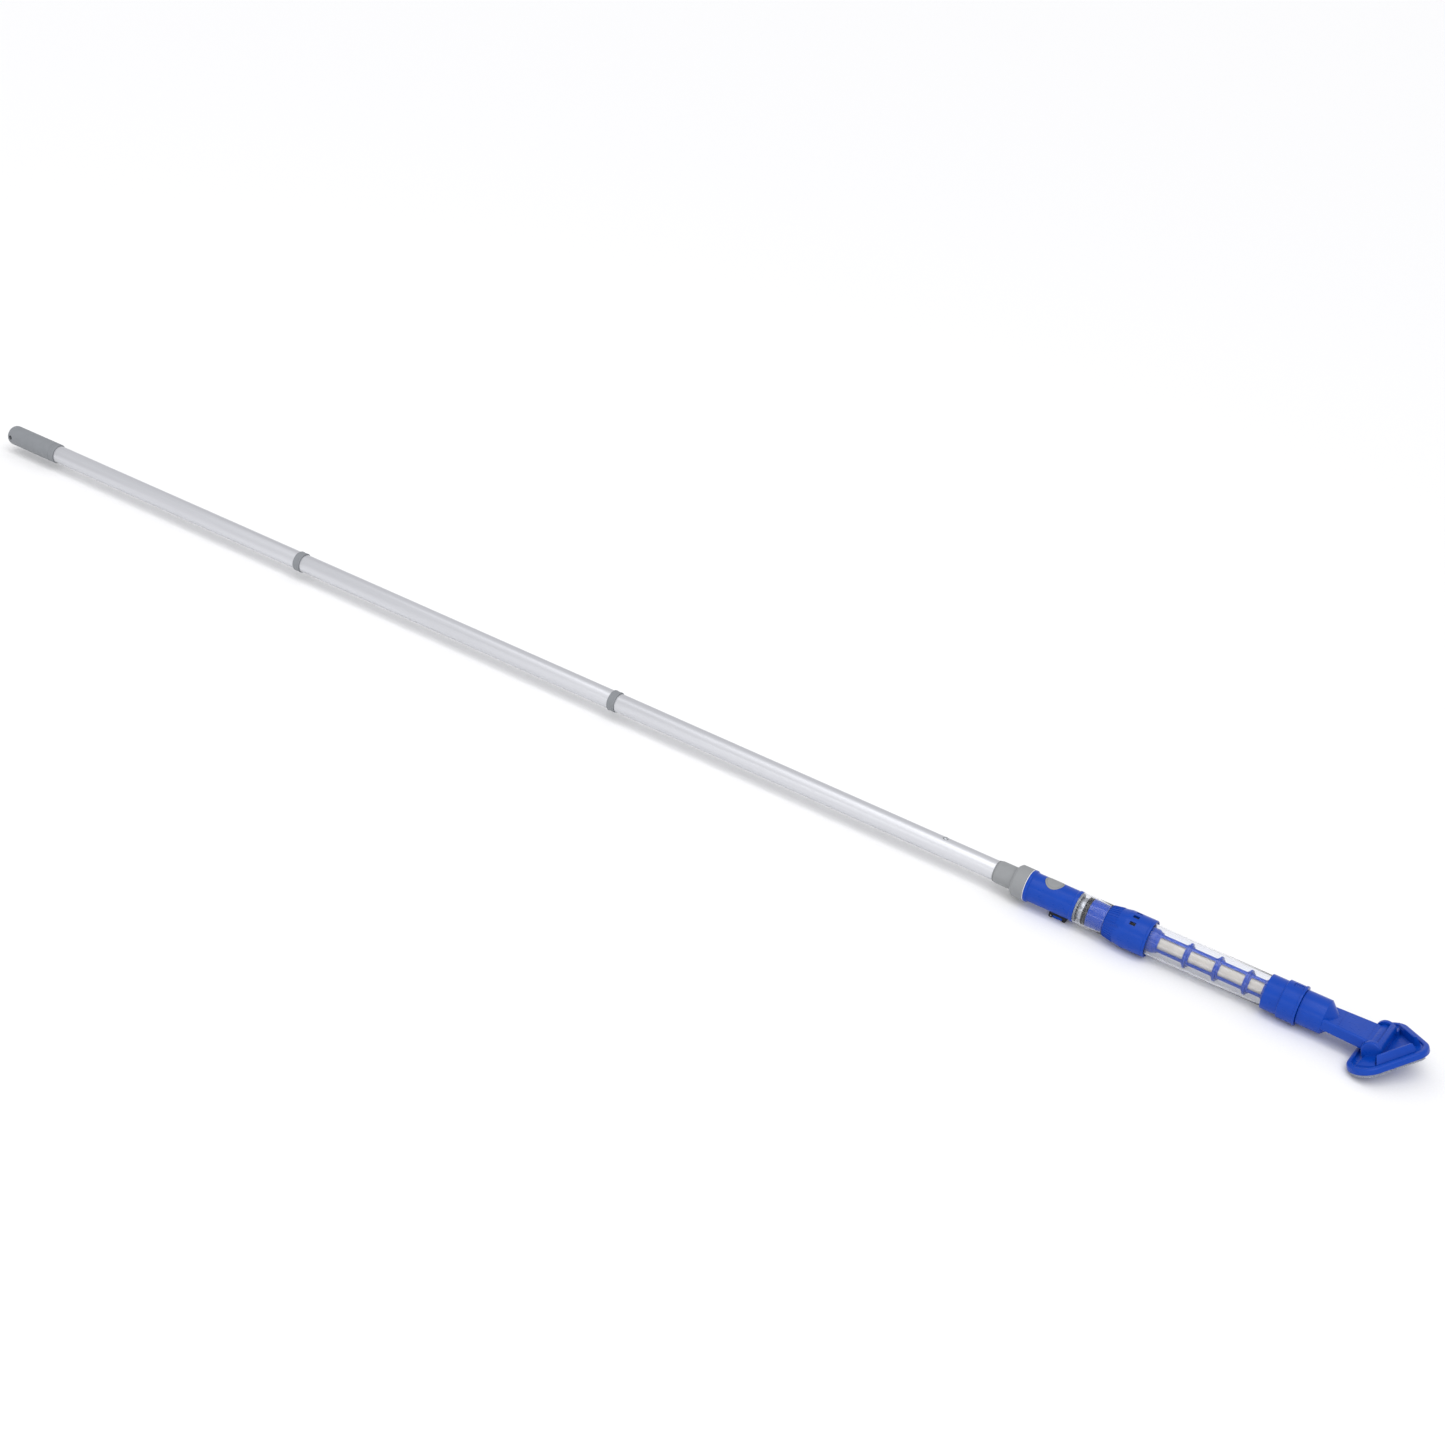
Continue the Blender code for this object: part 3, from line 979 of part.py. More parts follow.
def build_connector():
    sleeve_bore = CHAMBER_R + GAP
    inlet_outer = INLET_R + INLET_WALL
    lip_x = CONNECTOR_END_X - CONNECTOR_LIP
    connector = turned("front_connector", [
        (CONNECTOR_X, sleeve_bore), (CONNECTOR_X, CONNECTOR_R - CONNECTOR_EDGE),
        (CONNECTOR_X + EDGE, CONNECTOR_R), (RING_X, CONNECTOR_R),
        (RING_X + 2 * CONNECTOR_EDGE, CONNECTOR_RING_R), (lip_x - CONNECTOR_EDGE, CONNECTOR_RING_R),
        (lip_x, CONNECTOR_LIP_R), (CONNECTOR_END_X, CONNECTOR_LIP_R), (CONNECTOR_END_X, SOCKET_R),
        (SOCKET_X, SOCKET_R), (SOCKET_X, INLET_R), (INLET_X, INLET_R), (INLET_X, inlet_outer),
        (BULKHEAD_FRONT_X, inlet_outer), (BULKHEAD_FRONT_X, CHAMBER_BORE_R),
        (LEDGE_X, CHAMBER_BORE_R), (LEDGE_X, sleeve_bore)], BLUE)
    combine(connector, box("latch_slot_cutter", (LATCH_X - GAP, -LATCH_HALF_WIDTH - GAP, 0.5 * SOCKET_R),
                           (LATCH_X + LATCH_LENGTH + GAP, LATCH_HALF_WIDTH + GAP, CONNECTOR_LIP_R + OVERRUN)))
    knuckle_half = FLAP_HALF_WIDTH
    ear_half = knuckle_half + GAP + EAR_THICK
    ear_top = FLAP_PIN_Z + FLAP_KNUCKLE_R + GAP / 2
    ears = box("flap_ears", (FLAP_PIN_X - FLAP_KNUCKLE_R, -ear_half, INLET_R + INLET_WALL - EDGE),
               (INLET_X + EAR_ROOT, ear_half, ear_top))
    combine(ears, box("ear_gap_cutter", (FLAP_PIN_X - 2 * FLAP_KNUCKLE_R, -knuckle_half - GAP, 0.0),
                      (INLET_X + EAR_ROOM, knuckle_half + GAP, ear_top + OVERRUN)))
    combine(ears, rod("ear_bore_cutter", "Y", FLAP_PIN_R + GAP, -ear_half - OVERRUN, ear_half + OVERRUN,
                      (FLAP_PIN_X, 0.0, FLAP_PIN_Z), sides=SMALL_SIDES))
    combine(connector, ears, "UNION")

    flap_r = INLET_R + INLET_WALL - FLAP_MARGIN
    flap = rod("inlet_flap", "X", flap_r, FLAP_PIN_X - FLAP_THICK / 2, FLAP_PIN_X + FLAP_THICK / 2,
               material=RUBBER, sides=INNER_SIDES)
    combine(flap, box("flap_tab", (FLAP_PIN_X - FLAP_THICK / 2, -knuckle_half, 0.0),
                      (FLAP_PIN_X + FLAP_THICK / 2, knuckle_half, FLAP_PIN_Z)), "UNION")
    combine(flap, rod("flap_knuckle", "Y", FLAP_KNUCKLE_R, -knuckle_half, knuckle_half,
                      (FLAP_PIN_X, 0.0, FLAP_PIN_Z), sides=SMALL_SIDES), "UNION")
    combine(flap, rod("flap_bore_cutter", "Y", FLAP_PIN_R + GAP, -ear_half, ear_half,
                      (FLAP_PIN_X, 0.0, FLAP_PIN_Z), sides=SMALL_SIDES))
    rod("flap_pin", "Y", FLAP_PIN_R, -ear_half, ear_half, (FLAP_PIN_X, 0.0, FLAP_PIN_Z), STEEL,
        sides=SMALL_SIDES)
    turned("front_chamber_seal", [
        (CHAMBER_END_X + GAP, CHAMBER_BORE_R), (CHAMBER_END_X + GAP, CHAMBER_R),
        (LEDGE_X - GAP, CHAMBER_R), (LEDGE_X - GAP, CHAMBER_BORE_R)], RUBBER, INNER_SIDES)

    latch_low = GROOVE_R + LATCH_SPRING_ROOM
    box("latch_button", (LATCH_X, -LATCH_HALF_WIDTH, latch_low),
        (LATCH_X + LATCH_LENGTH, LATCH_HALF_WIDTH, CONNECTOR_RING_R - LATCH_SINK), BLUE, bevel=CONNECTOR_EDGE)
    spring_low = GROOVE_R + GAP + SPRING_WIRE_R
    spring_high = latch_low - GAP - SPRING_WIRE_R
    wire("latch_spring", helix(LATCH_SPRING_R, spring_low, spring_high, 2, (LATCH_X + LATCH_LENGTH / 2, 0.0)),
         SPRING_WIRE_R, STEEL)


# ---------------------------------------------------------------- nozzle and flat neck
BARREL_HALF = NECK_WIDTH_FRONT / 2


def rounded_section(x, width, height, corner, per_corner=4):
    """A rounded rectangle in the YZ plane at x, as a ring of points."""
    ring = []
    for quarter, (sy, sz) in enumerate(((1, 1), (-1, 1), (-1, -1), (1, -1))):
        cy = sy * (width / 2 - corner)
        cz = sz * (height / 2 - corner)
        for i in range(per_corner + 1):
            angle = math.pi / 2 * (quarter + i / per_corner)
            ring.append((x, cy + corner * math.cos(angle), cz + corner * math.sin(angle)))
    return ring


def build_nozzle():
    spigot_x = SOCKET_X + GAP
    groove_x = LATCH_X - GROOVE_MARGIN
    groove_end = LATCH_X + LATCH_LENGTH + GROOVE_MARGIN
    cone_x = NOZZLE_X + NOZZLE_LENGTH - CONE_START
    cone_end_x = cone_x + CONE_LENGTH
    nozzle = turned("nozzle_neck", [
        (spigot_x, NOZZLE_BORE_R), (spigot_x, SPIGOT_R), (groove_x, SPIGOT_R), (groove_x, GROOVE_R),
        (groove_end, GROOVE_R), (groove_end, SPIGOT_R), (NOZZLE_X, SPIGOT_R), (NOZZLE_X, NOZZLE_R),
        (cone_x, NOZZLE_R), (cone_end_x, NECK_THICK / 2), (cone_end_x, NECK_THICK / 2 - EDGE),
        (cone_x - NECK_ROOT, NOZZLE_BORE_R)], BLUE)
    slab = loft("neck_slab", [
        rounded_section(cone_x - NECK_ROOT, 0.92 * NECK_WIDTH_REAR, NECK_THICK - EDGE, NECK_CORNER),
        rounded_section(cone_x + NECK_ROOT / 3, 0.96 * NECK_WIDTH_REAR, NECK_THICK, NECK_CORNER),
        rounded_section(cone_end_x, NECK_WIDTH_REAR, NECK_THICK, NECK_CORNER),
        rounded_section(PIVOT_X - 0.2 * BARREL_END_R, NECK_WIDTH_FRONT, NECK_THICK, NECK_CORNER)], None)
    combine(nozzle, slab, "UNION")
    combine(nozzle, rod("neck_barrel", "Y", BARREL_END_R, -BARREL_HALF, BARREL_HALF,
                        (PIVOT_X, 0.0, 0.0), sides=ROUND_SIDES), "UNION")
    duct_height = NECK_THICK - 2 * NECK_WALL
    duct = loft("neck_duct_cutter", [
        rounded_section(cone_x - 1.5 * NECK_ROOT, 1.6 * NOZZLE_BORE_R, duct_height, NECK_CORNER - EDGE),
        rounded_section(cone_x + NECK_ROOT / 3, 0.94 * NECK_WIDTH_REAR - 2 * NECK_WALL, duct_height,
                        NECK_CORNER - EDGE),
        rounded_section(PIVOT_X, NECK_WIDTH_FRONT - 2.4 * NECK_WALL, duct_height, NECK_CORNER - EDGE)],
        None)
    combine(nozzle, duct)
    bore_half = BARREL_HALF - 1.2 * NECK_WALL
    combine(nozzle, rod("barrel_bore_cutter", "Y", BARREL_END_R - BARREL_END_WALL, -bore_half, bore_half,
                        (PIVOT_X, 0.0, 0.0), sides=ROUND_SIDES))
    outlet = box("barrel_outlet_cutter", (0.0, -bore_half, -0.55 * BARREL_END_R),
                 (2 * BARREL_END_R, bore_half, 0.55 * BARREL_END_R))
    outlet.location = (PIVOT_X, 0.0, 0.0)
    down_deg = 90 - HEAD_PITCH_DEG - HEAD_SWING_DEG / 2
    outlet.rotation_euler = (0.0, math.radians(down_deg), 0.0)
    combine(nozzle, outlet)
    combine(nozzle, rod("pin_bore_cutter", "Y", PIVOT_PIN_R + GAP,
                         -BARREL_HALF - OVERRUN, BARREL_HALF + OVERRUN,
                        (PIVOT_X, 0.0, 0.0), sides=SMALL_SIDES))


# ---------------------------------------------------------------- head
REAR_CORNER_X = REAR_CORNER_R - HEAD_REAR
CORNER_SPAN = math.hypot(REAR_CORNER_Y, APEX_X - REAR_CORNER_X)
SIDE_ANGLE = (math.atan2(REAR_CORNER_Y, REAR_CORNER_X - APEX_X)
              - math.acos((APEX_R - REAR_CORNER_R) / CORNER_SPAN))   # direction a side faces
SIDE_LENGTH = math.sqrt(CORNER_SPAN ** 2 - (APEX_R - REAR_CORNER_R) ** 2)


def rim_outline(inset, z):
    """The head's rounded triangle, drawn in by inset, as a ring of points at height z."""
    corners = ((APEX_X, 0.0, APEX_R, -SIDE_ANGLE, SIDE_ANGLE),
               (REAR_CORNER_X, REAR_CORNER_Y, REAR_CORNER_R, SIDE_ANGLE, math.pi),
               (REAR_CORNER_X, -REAR_CORNER_Y, REAR_CORNER_R, math.pi, 2 * math.pi - SIDE_ANGLE))
    ring = []
    for cx, cy, radius, start, end in corners:
        for i in range(CORNER_STEPS + 1):
            angle = start + (end - start) * i / CORNER_STEPS
            ring.append((cx + (radius - inset) * math.cos(angle),
                         cy + (radius - inset) * math.sin(angle), z))
    return ring


def half_rim(inset):
    """The rim's far half from the middle of the rear edge to the apex, as (x, y) points."""
    steps = CORNER_STEPS
    ring = rim_outline(inset, 0.0)
    corner = ring[steps + 1:2 * steps + 2][::-1]
    apex = ring[steps // 2:steps + 1][::-1]
    return [(inset - HEAD_REAR, 0.0)] + [(x, y) for x, y, z in corner + apex]


def rim_point(distance, inset):
    """A point on the far half, by its distance along the middle of the brush groove."""
    guide = half_rim(STRIP_INSET)
    track = half_rim(inset)
    for i in range(len(guide) - 1):
        length = math.dist(guide[i], guide[i + 1])
        if distance <= length or i == len(guide) - 2:
            share = distance / length
            return tuple(p + (q - p) * share for p, q in zip(track[i], track[i + 1]))
        distance -= length


def rim_distance(corner_count):
    """Distance along the groove from the middle of the rear edge to a point of half_rim."""
    guide = half_rim(STRIP_INSET)
    return sum(math.dist(guide[i], guide[i + 1]) for i in range(corner_count))


def corner_panel(side):
    """The sloping panel between a cheek and the rim's rear corner."""
    rings = []
    low = DECK_Z - 0.5 * EDGE
    for y, top, (x0, x1) in ((BARREL_HALF + CHEEK, PANEL_TOP, PANEL_ROOT),
                             (PANEL_END_Y, PANEL_LOW, PANEL_FOOT)):
        rings.append([(x0, side * y, low), (x1, side * y, low), (x1, side * y, top), (x0, side * y, top)])
    return loft("corner_panel", rings, None, head_frame)


def build_head():
    groove_out = STRIP_INSET - STRIP_WIDTH / 2 - GAP
    groove_in = STRIP_INSET + STRIP_WIDTH / 2 + GAP
    groove_top = RIM_BOTTOM + GROOVE_DEPTH
    levels = [(RIM_BAND + GUTTER, DECK_Z), (RIM_BAND, DECK_Z), (RIM_BAND - RIM_STEP, RIM_TOP - RIM_STEP),
              (RIM_BAND - 2 * RIM_STEP, RIM_TOP), (2 * RIM_ROUND, RIM_TOP),
              (0.6 * RIM_ROUND, RIM_TOP - RIM_ROUND), (0.0, RIM_TOP - 3 * RIM_ROUND),
              (0.0, RIM_BOTTOM + RIM_ROUND),
              (RIM_ROUND, RIM_BOTTOM), (groove_out, RIM_BOTTOM), (groove_out, groove_top),
              (groove_in, groove_top), (groove_in, RIM_BOTTOM),
              (RIM_WIDTH + EDGE, RIM_BOTTOM), (RIM_WIDTH + 2 * EDGE, DECK_Z - SHELL_WALL)]
    shell = loft("head_shell", [rim_outline(inset, z) for inset, z in levels], BLUE, head_frame)

    root_z = DECK_Z - EDGE
    ridge = loft("front_ridges", [rim_outline(RIDGE_FOOT, root_z),
                                  rim_outline(RIDGE_FOOT + RIDGE_DRAFT, RIDGE_TOP)], None, head_frame)
    well = RIDGE_FOOT + RIDGE_DRAFT + RIDGE_THICK
    combine(ridge, loft("well_cutter", [rim_outline(well + EDGE, root_z - OVERRUN),
                                        rim_outline(well, RIDGE_TOP + OVERRUN)], None, head_frame))
    far_y = REAR_CORNER_Y + REAR_CORNER_R
    top_z = RIDGE_TOP + OVERRUN
    combine(ridge, box("ridge_rear_cutter", (-HEAD_REAR, -far_y, root_z - OVERRUN), (RIDGE_X, far_y, top_z),
                       None, head_frame))
    combine(ridge, box("ridge_gap_cutter", (RIDGE_GAP_X - APEX_R / 2, -RIDGE_GAP, root_z - OVERRUN),
                       (APEX_X + APEX_R, RIDGE_GAP, top_z), None, head_frame))
    combine(shell, ridge, "UNION")

    clear_half = BARREL_HALF + GAP
    hood_half = clear_half + CHEEK
    hood = rod("hood", "Y", HOOD_R, -hood_half, hood_half, (0.0, 0.0, 0.0), None, head_frame,
               sides=ROUND_SIDES, bevel=CHEEK_ROUND)
    combine(hood, box("hood_skirt", (EDGE - HOOD_R, -hood_half + EDGE, root_z - EDGE),
                      (HOOD_R - EDGE, hood_half - EDGE, 0.0), None, head_frame), "UNION")
    combine(hood, box("hood_trim_cutter", (-2 * HOOD_R, -2 * hood_half, -2 * HOOD_R),
                      (2 * HOOD_R, 2 * hood_half, root_z - EDGE / 2), None, head_frame))
    combine(hood, box("barrel_top_cutter", (-2 * HOOD_R, -clear_half, PANEL_TOP),
                      (BAR_X, clear_half, 2 * HOOD_R), None, head_frame))
    combine(shell, hood, "UNION")
    for side in (-1, 1):
        near, far = sorted((side * (hood_half - 2 * EDGE), side * WEB_END_Y))
        combine(shell, box("cheek_web", (RIDGE_X - 2 * EDGE, near, root_z + EDGE / 4),
                           (RIDGE_X + SHELL_WALL, far, WEB_TOP), None, head_frame), "UNION")
        combine(shell, corner_panel(side), "UNION")

    combine(shell, rod("barrel_room_cutter", "Y", BARREL_END_R + GAP, -clear_half, clear_half,
                       (0.0, 0.0, 0.0), None, head_frame, sides=ROUND_SIDES))
    mouth_half = BARREL_END_R - EDGE
    combine(shell, box("mouth_cutter", (-mouth_half, -clear_half + GAP, RIM_BOTTOM - OVERRUN),
                       (mouth_half, clear_half - GAP, -EDGE), None, head_frame))
    half = NECK_THICK / 2 + GAP
    swung = HEAD_PITCH_DEG + HEAD_SWING_DEG
    for name, pitch in (("neck_room_low", HEAD_PITCH_DEG), ("neck_room_high", swung)):
        combine(shell, box(name, (-2 * HEAD_REAR, -clear_half, -half), (0.0, clear_half, half), None,
                           head_frame, (0.0, math.radians(pitch), 0.0)))
    combine(shell, rod("pivot_bore_cutter", "Y", PIVOT_PIN_R + GAP, -hood_half + PIN_COVER,
                       hood_half - PIN_COVER, (0.0, 0.0, 0.0), None, head_frame, sides=SMALL_SIDES))
    inner = BARREL_HALF - 1.2 * NECK_WALL
    outer = hood_half - PIN_COVER - 2 * GAP
    rod("near_pivot_pin", "Y", PIVOT_PIN_R, -outer, -inner, material=STEEL, parent=head_frame,
        sides=SMALL_SIDES)
    rod("far_pivot_pin", "Y", PIVOT_PIN_R, inner, outer, material=STEEL, parent=head_frame,
        sides=SMALL_SIDES)


def brush_strip(name, start, end, side):
    """A curved backing with two rows of strands, seated in the rim's groove."""
    top = RIM_BOTTOM + GROOVE_DEPTH - GAP
    low = top - STRIP_THICK
    corners = [rim_distance(i) for i in range(len(half_rim(STRIP_INSET)))]
    stations = [start] + [distance for distance in corners if start < distance < end] + [end]
    rings = []
    for distance in stations:
        outer = rim_point(distance, STRIP_INSET - STRIP_WIDTH / 2)
        inner = rim_point(distance, STRIP_INSET + STRIP_WIDTH / 2)
        rings.append([(outer[0], side * outer[1], low), (outer[0], side * outer[1], top),
                      (inner[0], side * inner[1], top), (inner[0], side * inner[1], low)])
    strip = loft(name, rings, BRISTLE, head_frame)
    form = bmesh.new()
    depth = STRAND_LENGTH + STRAND_ROOT + (low - RIM_BOTTOM)
    count = int((end - start - 2 * STRAND_STEP) / STRAND_STEP)
    for row in (-1, 1):
        for i in range(count + 1):
            distance = start + STRAND_STEP * (i + 1 + 0.25 * row)
            x, y = rim_point(distance, STRIP_INSET + row * STRAND_ROW_OFFSET)
            made = bmesh.ops.create_cone(form, cap_ends=True, segments=3, radius1=0.75 * STRAND_R,
                                         radius2=STRAND_R, depth=depth)
            bmesh.ops.translate(form, vec=(x, side * y, low + STRAND_ROOT - depth / 2),
                                verts=made["verts"])
    mesh = bpy.data.meshes.new("strands")
    form.to_mesh(mesh)
    form.free()
    combine(strip, add(name + "_strands", mesh, None, head_frame), "UNION")


def build_brushes():
    whole = rim_distance(3 * CORNER_STEPS // 2 + 2)
    corner_end = rim_distance(CORNER_STEPS + 1)
    split = corner_end + BRUSH_SPLIT * SIDE_LENGTH
    for side, word in ((-1, "near"), (1, "far")):
        brush_strip("rear_brush_" + word, BARREL_HALF + BRUSH_FROM_NECK, split - BRUSH_GAP / 2, side)
        brush_strip("front_brush_" + word, split + BRUSH_GAP / 2, whole - BRUSH_FROM_APEX, side)


build_pole()
build_adapter()
build_rear_cap()
build_housing()
build_port()
build_button()
build_battery_pack()
build_motor_section()
build_collar_and_pump()
build_chamber()
build_connector()
build_nozzle()
build_head()
build_brushes()
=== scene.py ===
"""Looks of a cordless pool vacuum on a three-tube pole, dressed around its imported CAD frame."""
import math
import random

import bmesh
import bpy
from mathutils import Matrix, Vector


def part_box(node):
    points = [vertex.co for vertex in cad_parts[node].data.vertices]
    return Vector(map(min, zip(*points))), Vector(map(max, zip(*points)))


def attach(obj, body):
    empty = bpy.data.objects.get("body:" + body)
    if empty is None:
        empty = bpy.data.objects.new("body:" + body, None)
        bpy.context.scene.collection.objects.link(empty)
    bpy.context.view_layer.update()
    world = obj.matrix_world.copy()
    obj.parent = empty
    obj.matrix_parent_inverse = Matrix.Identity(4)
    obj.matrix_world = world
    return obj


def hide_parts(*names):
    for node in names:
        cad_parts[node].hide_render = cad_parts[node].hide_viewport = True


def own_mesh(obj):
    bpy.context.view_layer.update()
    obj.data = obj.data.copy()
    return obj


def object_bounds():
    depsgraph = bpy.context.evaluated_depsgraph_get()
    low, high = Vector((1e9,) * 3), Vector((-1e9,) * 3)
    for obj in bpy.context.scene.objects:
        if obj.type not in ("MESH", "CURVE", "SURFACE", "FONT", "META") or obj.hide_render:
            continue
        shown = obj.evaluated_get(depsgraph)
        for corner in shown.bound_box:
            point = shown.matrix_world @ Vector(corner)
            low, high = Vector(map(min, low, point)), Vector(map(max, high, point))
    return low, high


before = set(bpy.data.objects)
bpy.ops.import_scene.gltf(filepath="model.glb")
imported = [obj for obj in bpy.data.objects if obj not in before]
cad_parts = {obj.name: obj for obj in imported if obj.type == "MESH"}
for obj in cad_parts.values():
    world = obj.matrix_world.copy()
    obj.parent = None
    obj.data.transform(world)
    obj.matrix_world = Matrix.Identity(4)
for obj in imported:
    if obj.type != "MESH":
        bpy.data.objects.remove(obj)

CAD_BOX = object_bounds()

bl_info = {
    "name": "Pool Vacuum on a Pole",
    "version": (1, 0, 0),
    "blender": (4, 5, 0),
    "location": "View3D > Sidebar > Pool Vacuum",
    "description": "Dresses the pool vacuum's frame with detailed pieces and finishes",
    "category": "Add Mesh",
}

MM = 0.001
GAP = 0.3 * MM                 # clearance between touching pieces
EDGE = 0.5 * MM                # usual rounding of a moulded edge
SIDES = 96                     # sides of a turned piece
SMALL_SIDES = 32               # sides of pins, holes and other small rounds
ARC_STEPS = 5                  # segments of a rounded corner
SHARP = math.radians(32.0)     # edges steeper than this stay crisp


# ---------------------------------------------------------------- places read from the frame
def extent(node):
    """Rear end, front end and largest radius of a turned node of the frame."""
    low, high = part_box(node)
    return low.x, high.x, (high.y - low.y) / 2


def middle_of(node):
    """Middle of a node of the frame, along the pole and in height."""
    low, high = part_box(node)
    return (low.x + high.x) / 2, (low.z + high.z) / 2


TUBE_LOW, TUBE_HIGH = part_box("lower_tube")
AXIS_Z = (TUBE_LOW.z + TUBE_HIGH.z) / 2
TUBE_R = (TUBE_HIGH.y - TUBE_LOW.y) / 2
TUBE_END_X = TUBE_HIGH.x + GAP                 # where the pole plugs into the tool
PIVOT_X, PIVOT_Z = middle_of("near_pivot_pin")
ORIGIN = (0.0, 0.0, 0.0)

# ---------------------------------------------------------------- sizes that several pieces share
CLEAR_SIDES = 128              # sides of the clear tubes
SNAP_HOLE_R = 4.3 * MM         # hole for the snap button, in the tube and in the adapter
COVER_PIN_BORE = 1.5 * MM      # radius of the bore for the port cover's pin
FLAP_PIN_BORE = 1.2 * MM       # radius of the bore for the flap's pin
PIVOT_BORE = 2.8 * MM          # radius of the bore for the head's pivot pins
SHAFT_BORE = 1.9 * MM          # radius of the bore for the motor's shaft
CAP_WALL = 2.2 * MM            # wall of the rear cap, over the housing's thread
BARREL_R = 10.5 * MM           # barrel at the front of the neck, which the head turns about
HEAD_SWING = math.radians(18.0)    # how far the head tilts up from rest


# ---------------------------------------------------------------- outlines and meshes
def rounded(outline, steps=ARC_STEPS):
    """Rounds an outline's corners; a point is (u, v) or (u, v, radius of its corner)."""
    result = []
    for i, point in enumerate(outline):
        here = Vector(point[:2])
        if len(point) < 3:
            result.append(tuple(here))
            continue
        back = Vector(outline[i - 1][:2]) - here
        ahead = Vector(outline[(i + 1) % len(outline)][:2]) - here
        half = back.angle(ahead) / 2
        reach = min(point[2] / math.tan(half), 0.49 * back.length, 0.49 * ahead.length)
        radius = reach * math.tan(half)
        start = here + back.normalized() * reach
        inward = (back.normalized() + ahead.normalized()).normalized()
        centre = here + inward * radius / math.sin(half)
        arm = start - centre
        turn = math.pi - 2 * half
        if back.cross(ahead) > 0:
            turn = -turn
        for step in range(steps + 1):
            result.append(tuple(centre + Matrix.Rotation(turn * step / steps, 2) @ arm))
    return result


def new_piece(name, mesh, location=None):
    piece = bpy.data.objects.new(name, mesh)
    piece.location = (0.0, 0.0, AXIS_Z) if location is None else location
    bpy.context.scene.collection.objects.link(piece)
    return piece


def tidy_mesh(name, form):
    bmesh.ops.remove_doubles(form, verts=form.verts, dist=1e-6)
    bmesh.ops.dissolve_degenerate(form, edges=form.edges, dist=1e-7)
    bmesh.ops.recalc_face_normals(form, faces=form.faces)
    mesh = bpy.data.meshes.new(name)
    form.to_mesh(mesh)
    form.free()
    return mesh


def turned(name, outline, sides=SIDES, axis="X", location=None, steps=ARC_STEPS):
    """A closed outline of (place along the axis, radius) turned about it, with UVs in metres."""
    points = rounded(outline, steps)
    form = bmesh.new()
    uv = form.loops.layers.uv.new("around")
    rings = []
    for along, radius in points:
        ring = []
        for i in range(sides):
            angle = 2 * math.pi * i / sides
            a, b = radius * math.sin(angle), radius * math.cos(angle)
            place = {"X": (along, a, b), "Y": (b, along, a), "Z": (a, b, along)}[axis]
            ring.append(form.verts.new(place))
        rings.append(ring)
    lengths = [0.0]
    for i, point in enumerate(points):
        lengths.append(lengths[-1] + math.dist(point, points[(i + 1) % len(points)]))
    for i, ring in enumerate(rings):
        after = rings[(i + 1) % len(rings)]
        radius = max(points[i][1], points[(i + 1) % len(points)][1])
        if radius < 1e-6:
            continue
        for j in range(sides):
            k = (j + 1) % sides
            face = form.faces.new((ring[j], ring[k], after[k], after[j]))
            step = 2 * math.pi * radius / sides
            corners = ((j, i), (j + 1, i), (j + 1, i + 1), (j, i + 1))
            for loop, (around, along) in zip(face.loops, corners):
                loop[uv].uv = (around * step, lengths[along])
    return new_piece(name, tidy_mesh(name, form), location)


def rod(name, start, end, radius, sides=SMALL_SIDES, axis="X", location=None):
    """A plain round bar from start to end along the axis."""
    outline = [(start, 0.0), (start, radius), (end, radius), (end, 0.0)]
    return turned(name, outline, sides, axis, location)


def plate(name, outline, low, high, axis="Y", location=None):
    """A flat outline drawn through from low to high along the axis."""
    points = rounded(outline)
    form = bmesh.new()
    sides = []
    for depth in (low, high):
        places = [{"Y": (u, depth, v), "Z": (u, v, depth), "X": (depth, u, v)}[axis] for u,
                  v in points]
        sides.append([form.verts.new(place) for place in places])
    form.faces.new(sides[0])
    form.faces.new(sides[1][::-1])
    for i in range(len(points)):
        j = (i + 1) % len(points)
        form.faces.new((sides[0][i], sides[1][i], sides[1][j], sides[0][j]))
    return new_piece(name, tidy_mesh(name, form), location)


def block(name, low, high, edge=EDGE, location=None):
    """A box with its edges rounded."""
    form = bmesh.new()
    bmesh.ops.create_cube(form, size=1.0)
    size = Vector(high) - Vector(low)
    middle = (Vector(high) + Vector(low)) / 2
    for vert in form.verts:
        vert.co = Vector(c * s for c, s in zip(vert.co, size)) + middle
    if edge:
        bmesh.ops.bevel(form, geom=list(form.edges), offset=edge, segments=4, profile=0.5,
                        affect="EDGES")
    return new_piece(name, tidy_mesh(name, form), location)


def lofted(name, rings, location=None, closed=False):
    """A skin over rings of equally many points; open ends are capped."""
    form = bmesh.new()
    rows = [[form.verts.new(place) for place in ring] for ring in rings]
    count = len(rows[0])
    for i in range(len(rows) if closed else len(rows) - 1):
        row, after = rows[i], rows[(i + 1) % len(rows)]
        for j in range(count):
            k = (j + 1) % count
            form.faces.new((row[j], row[k], after[k], after[j]))
    if not closed:
        form.faces.new(rows[0])
        form.faces.new(rows[-1][::-1])
    return new_piece(name, tidy_mesh(name, form), location)


def apply_modifiers(piece):
    """Keeps the shape that the piece's modifiers give it."""
    graph = bpy.context.evaluated_depsgraph_get()
    mesh = bpy.data.meshes.new_from_object(piece.evaluated_get(graph))
    piece.modifiers.clear()
    piece.data = mesh


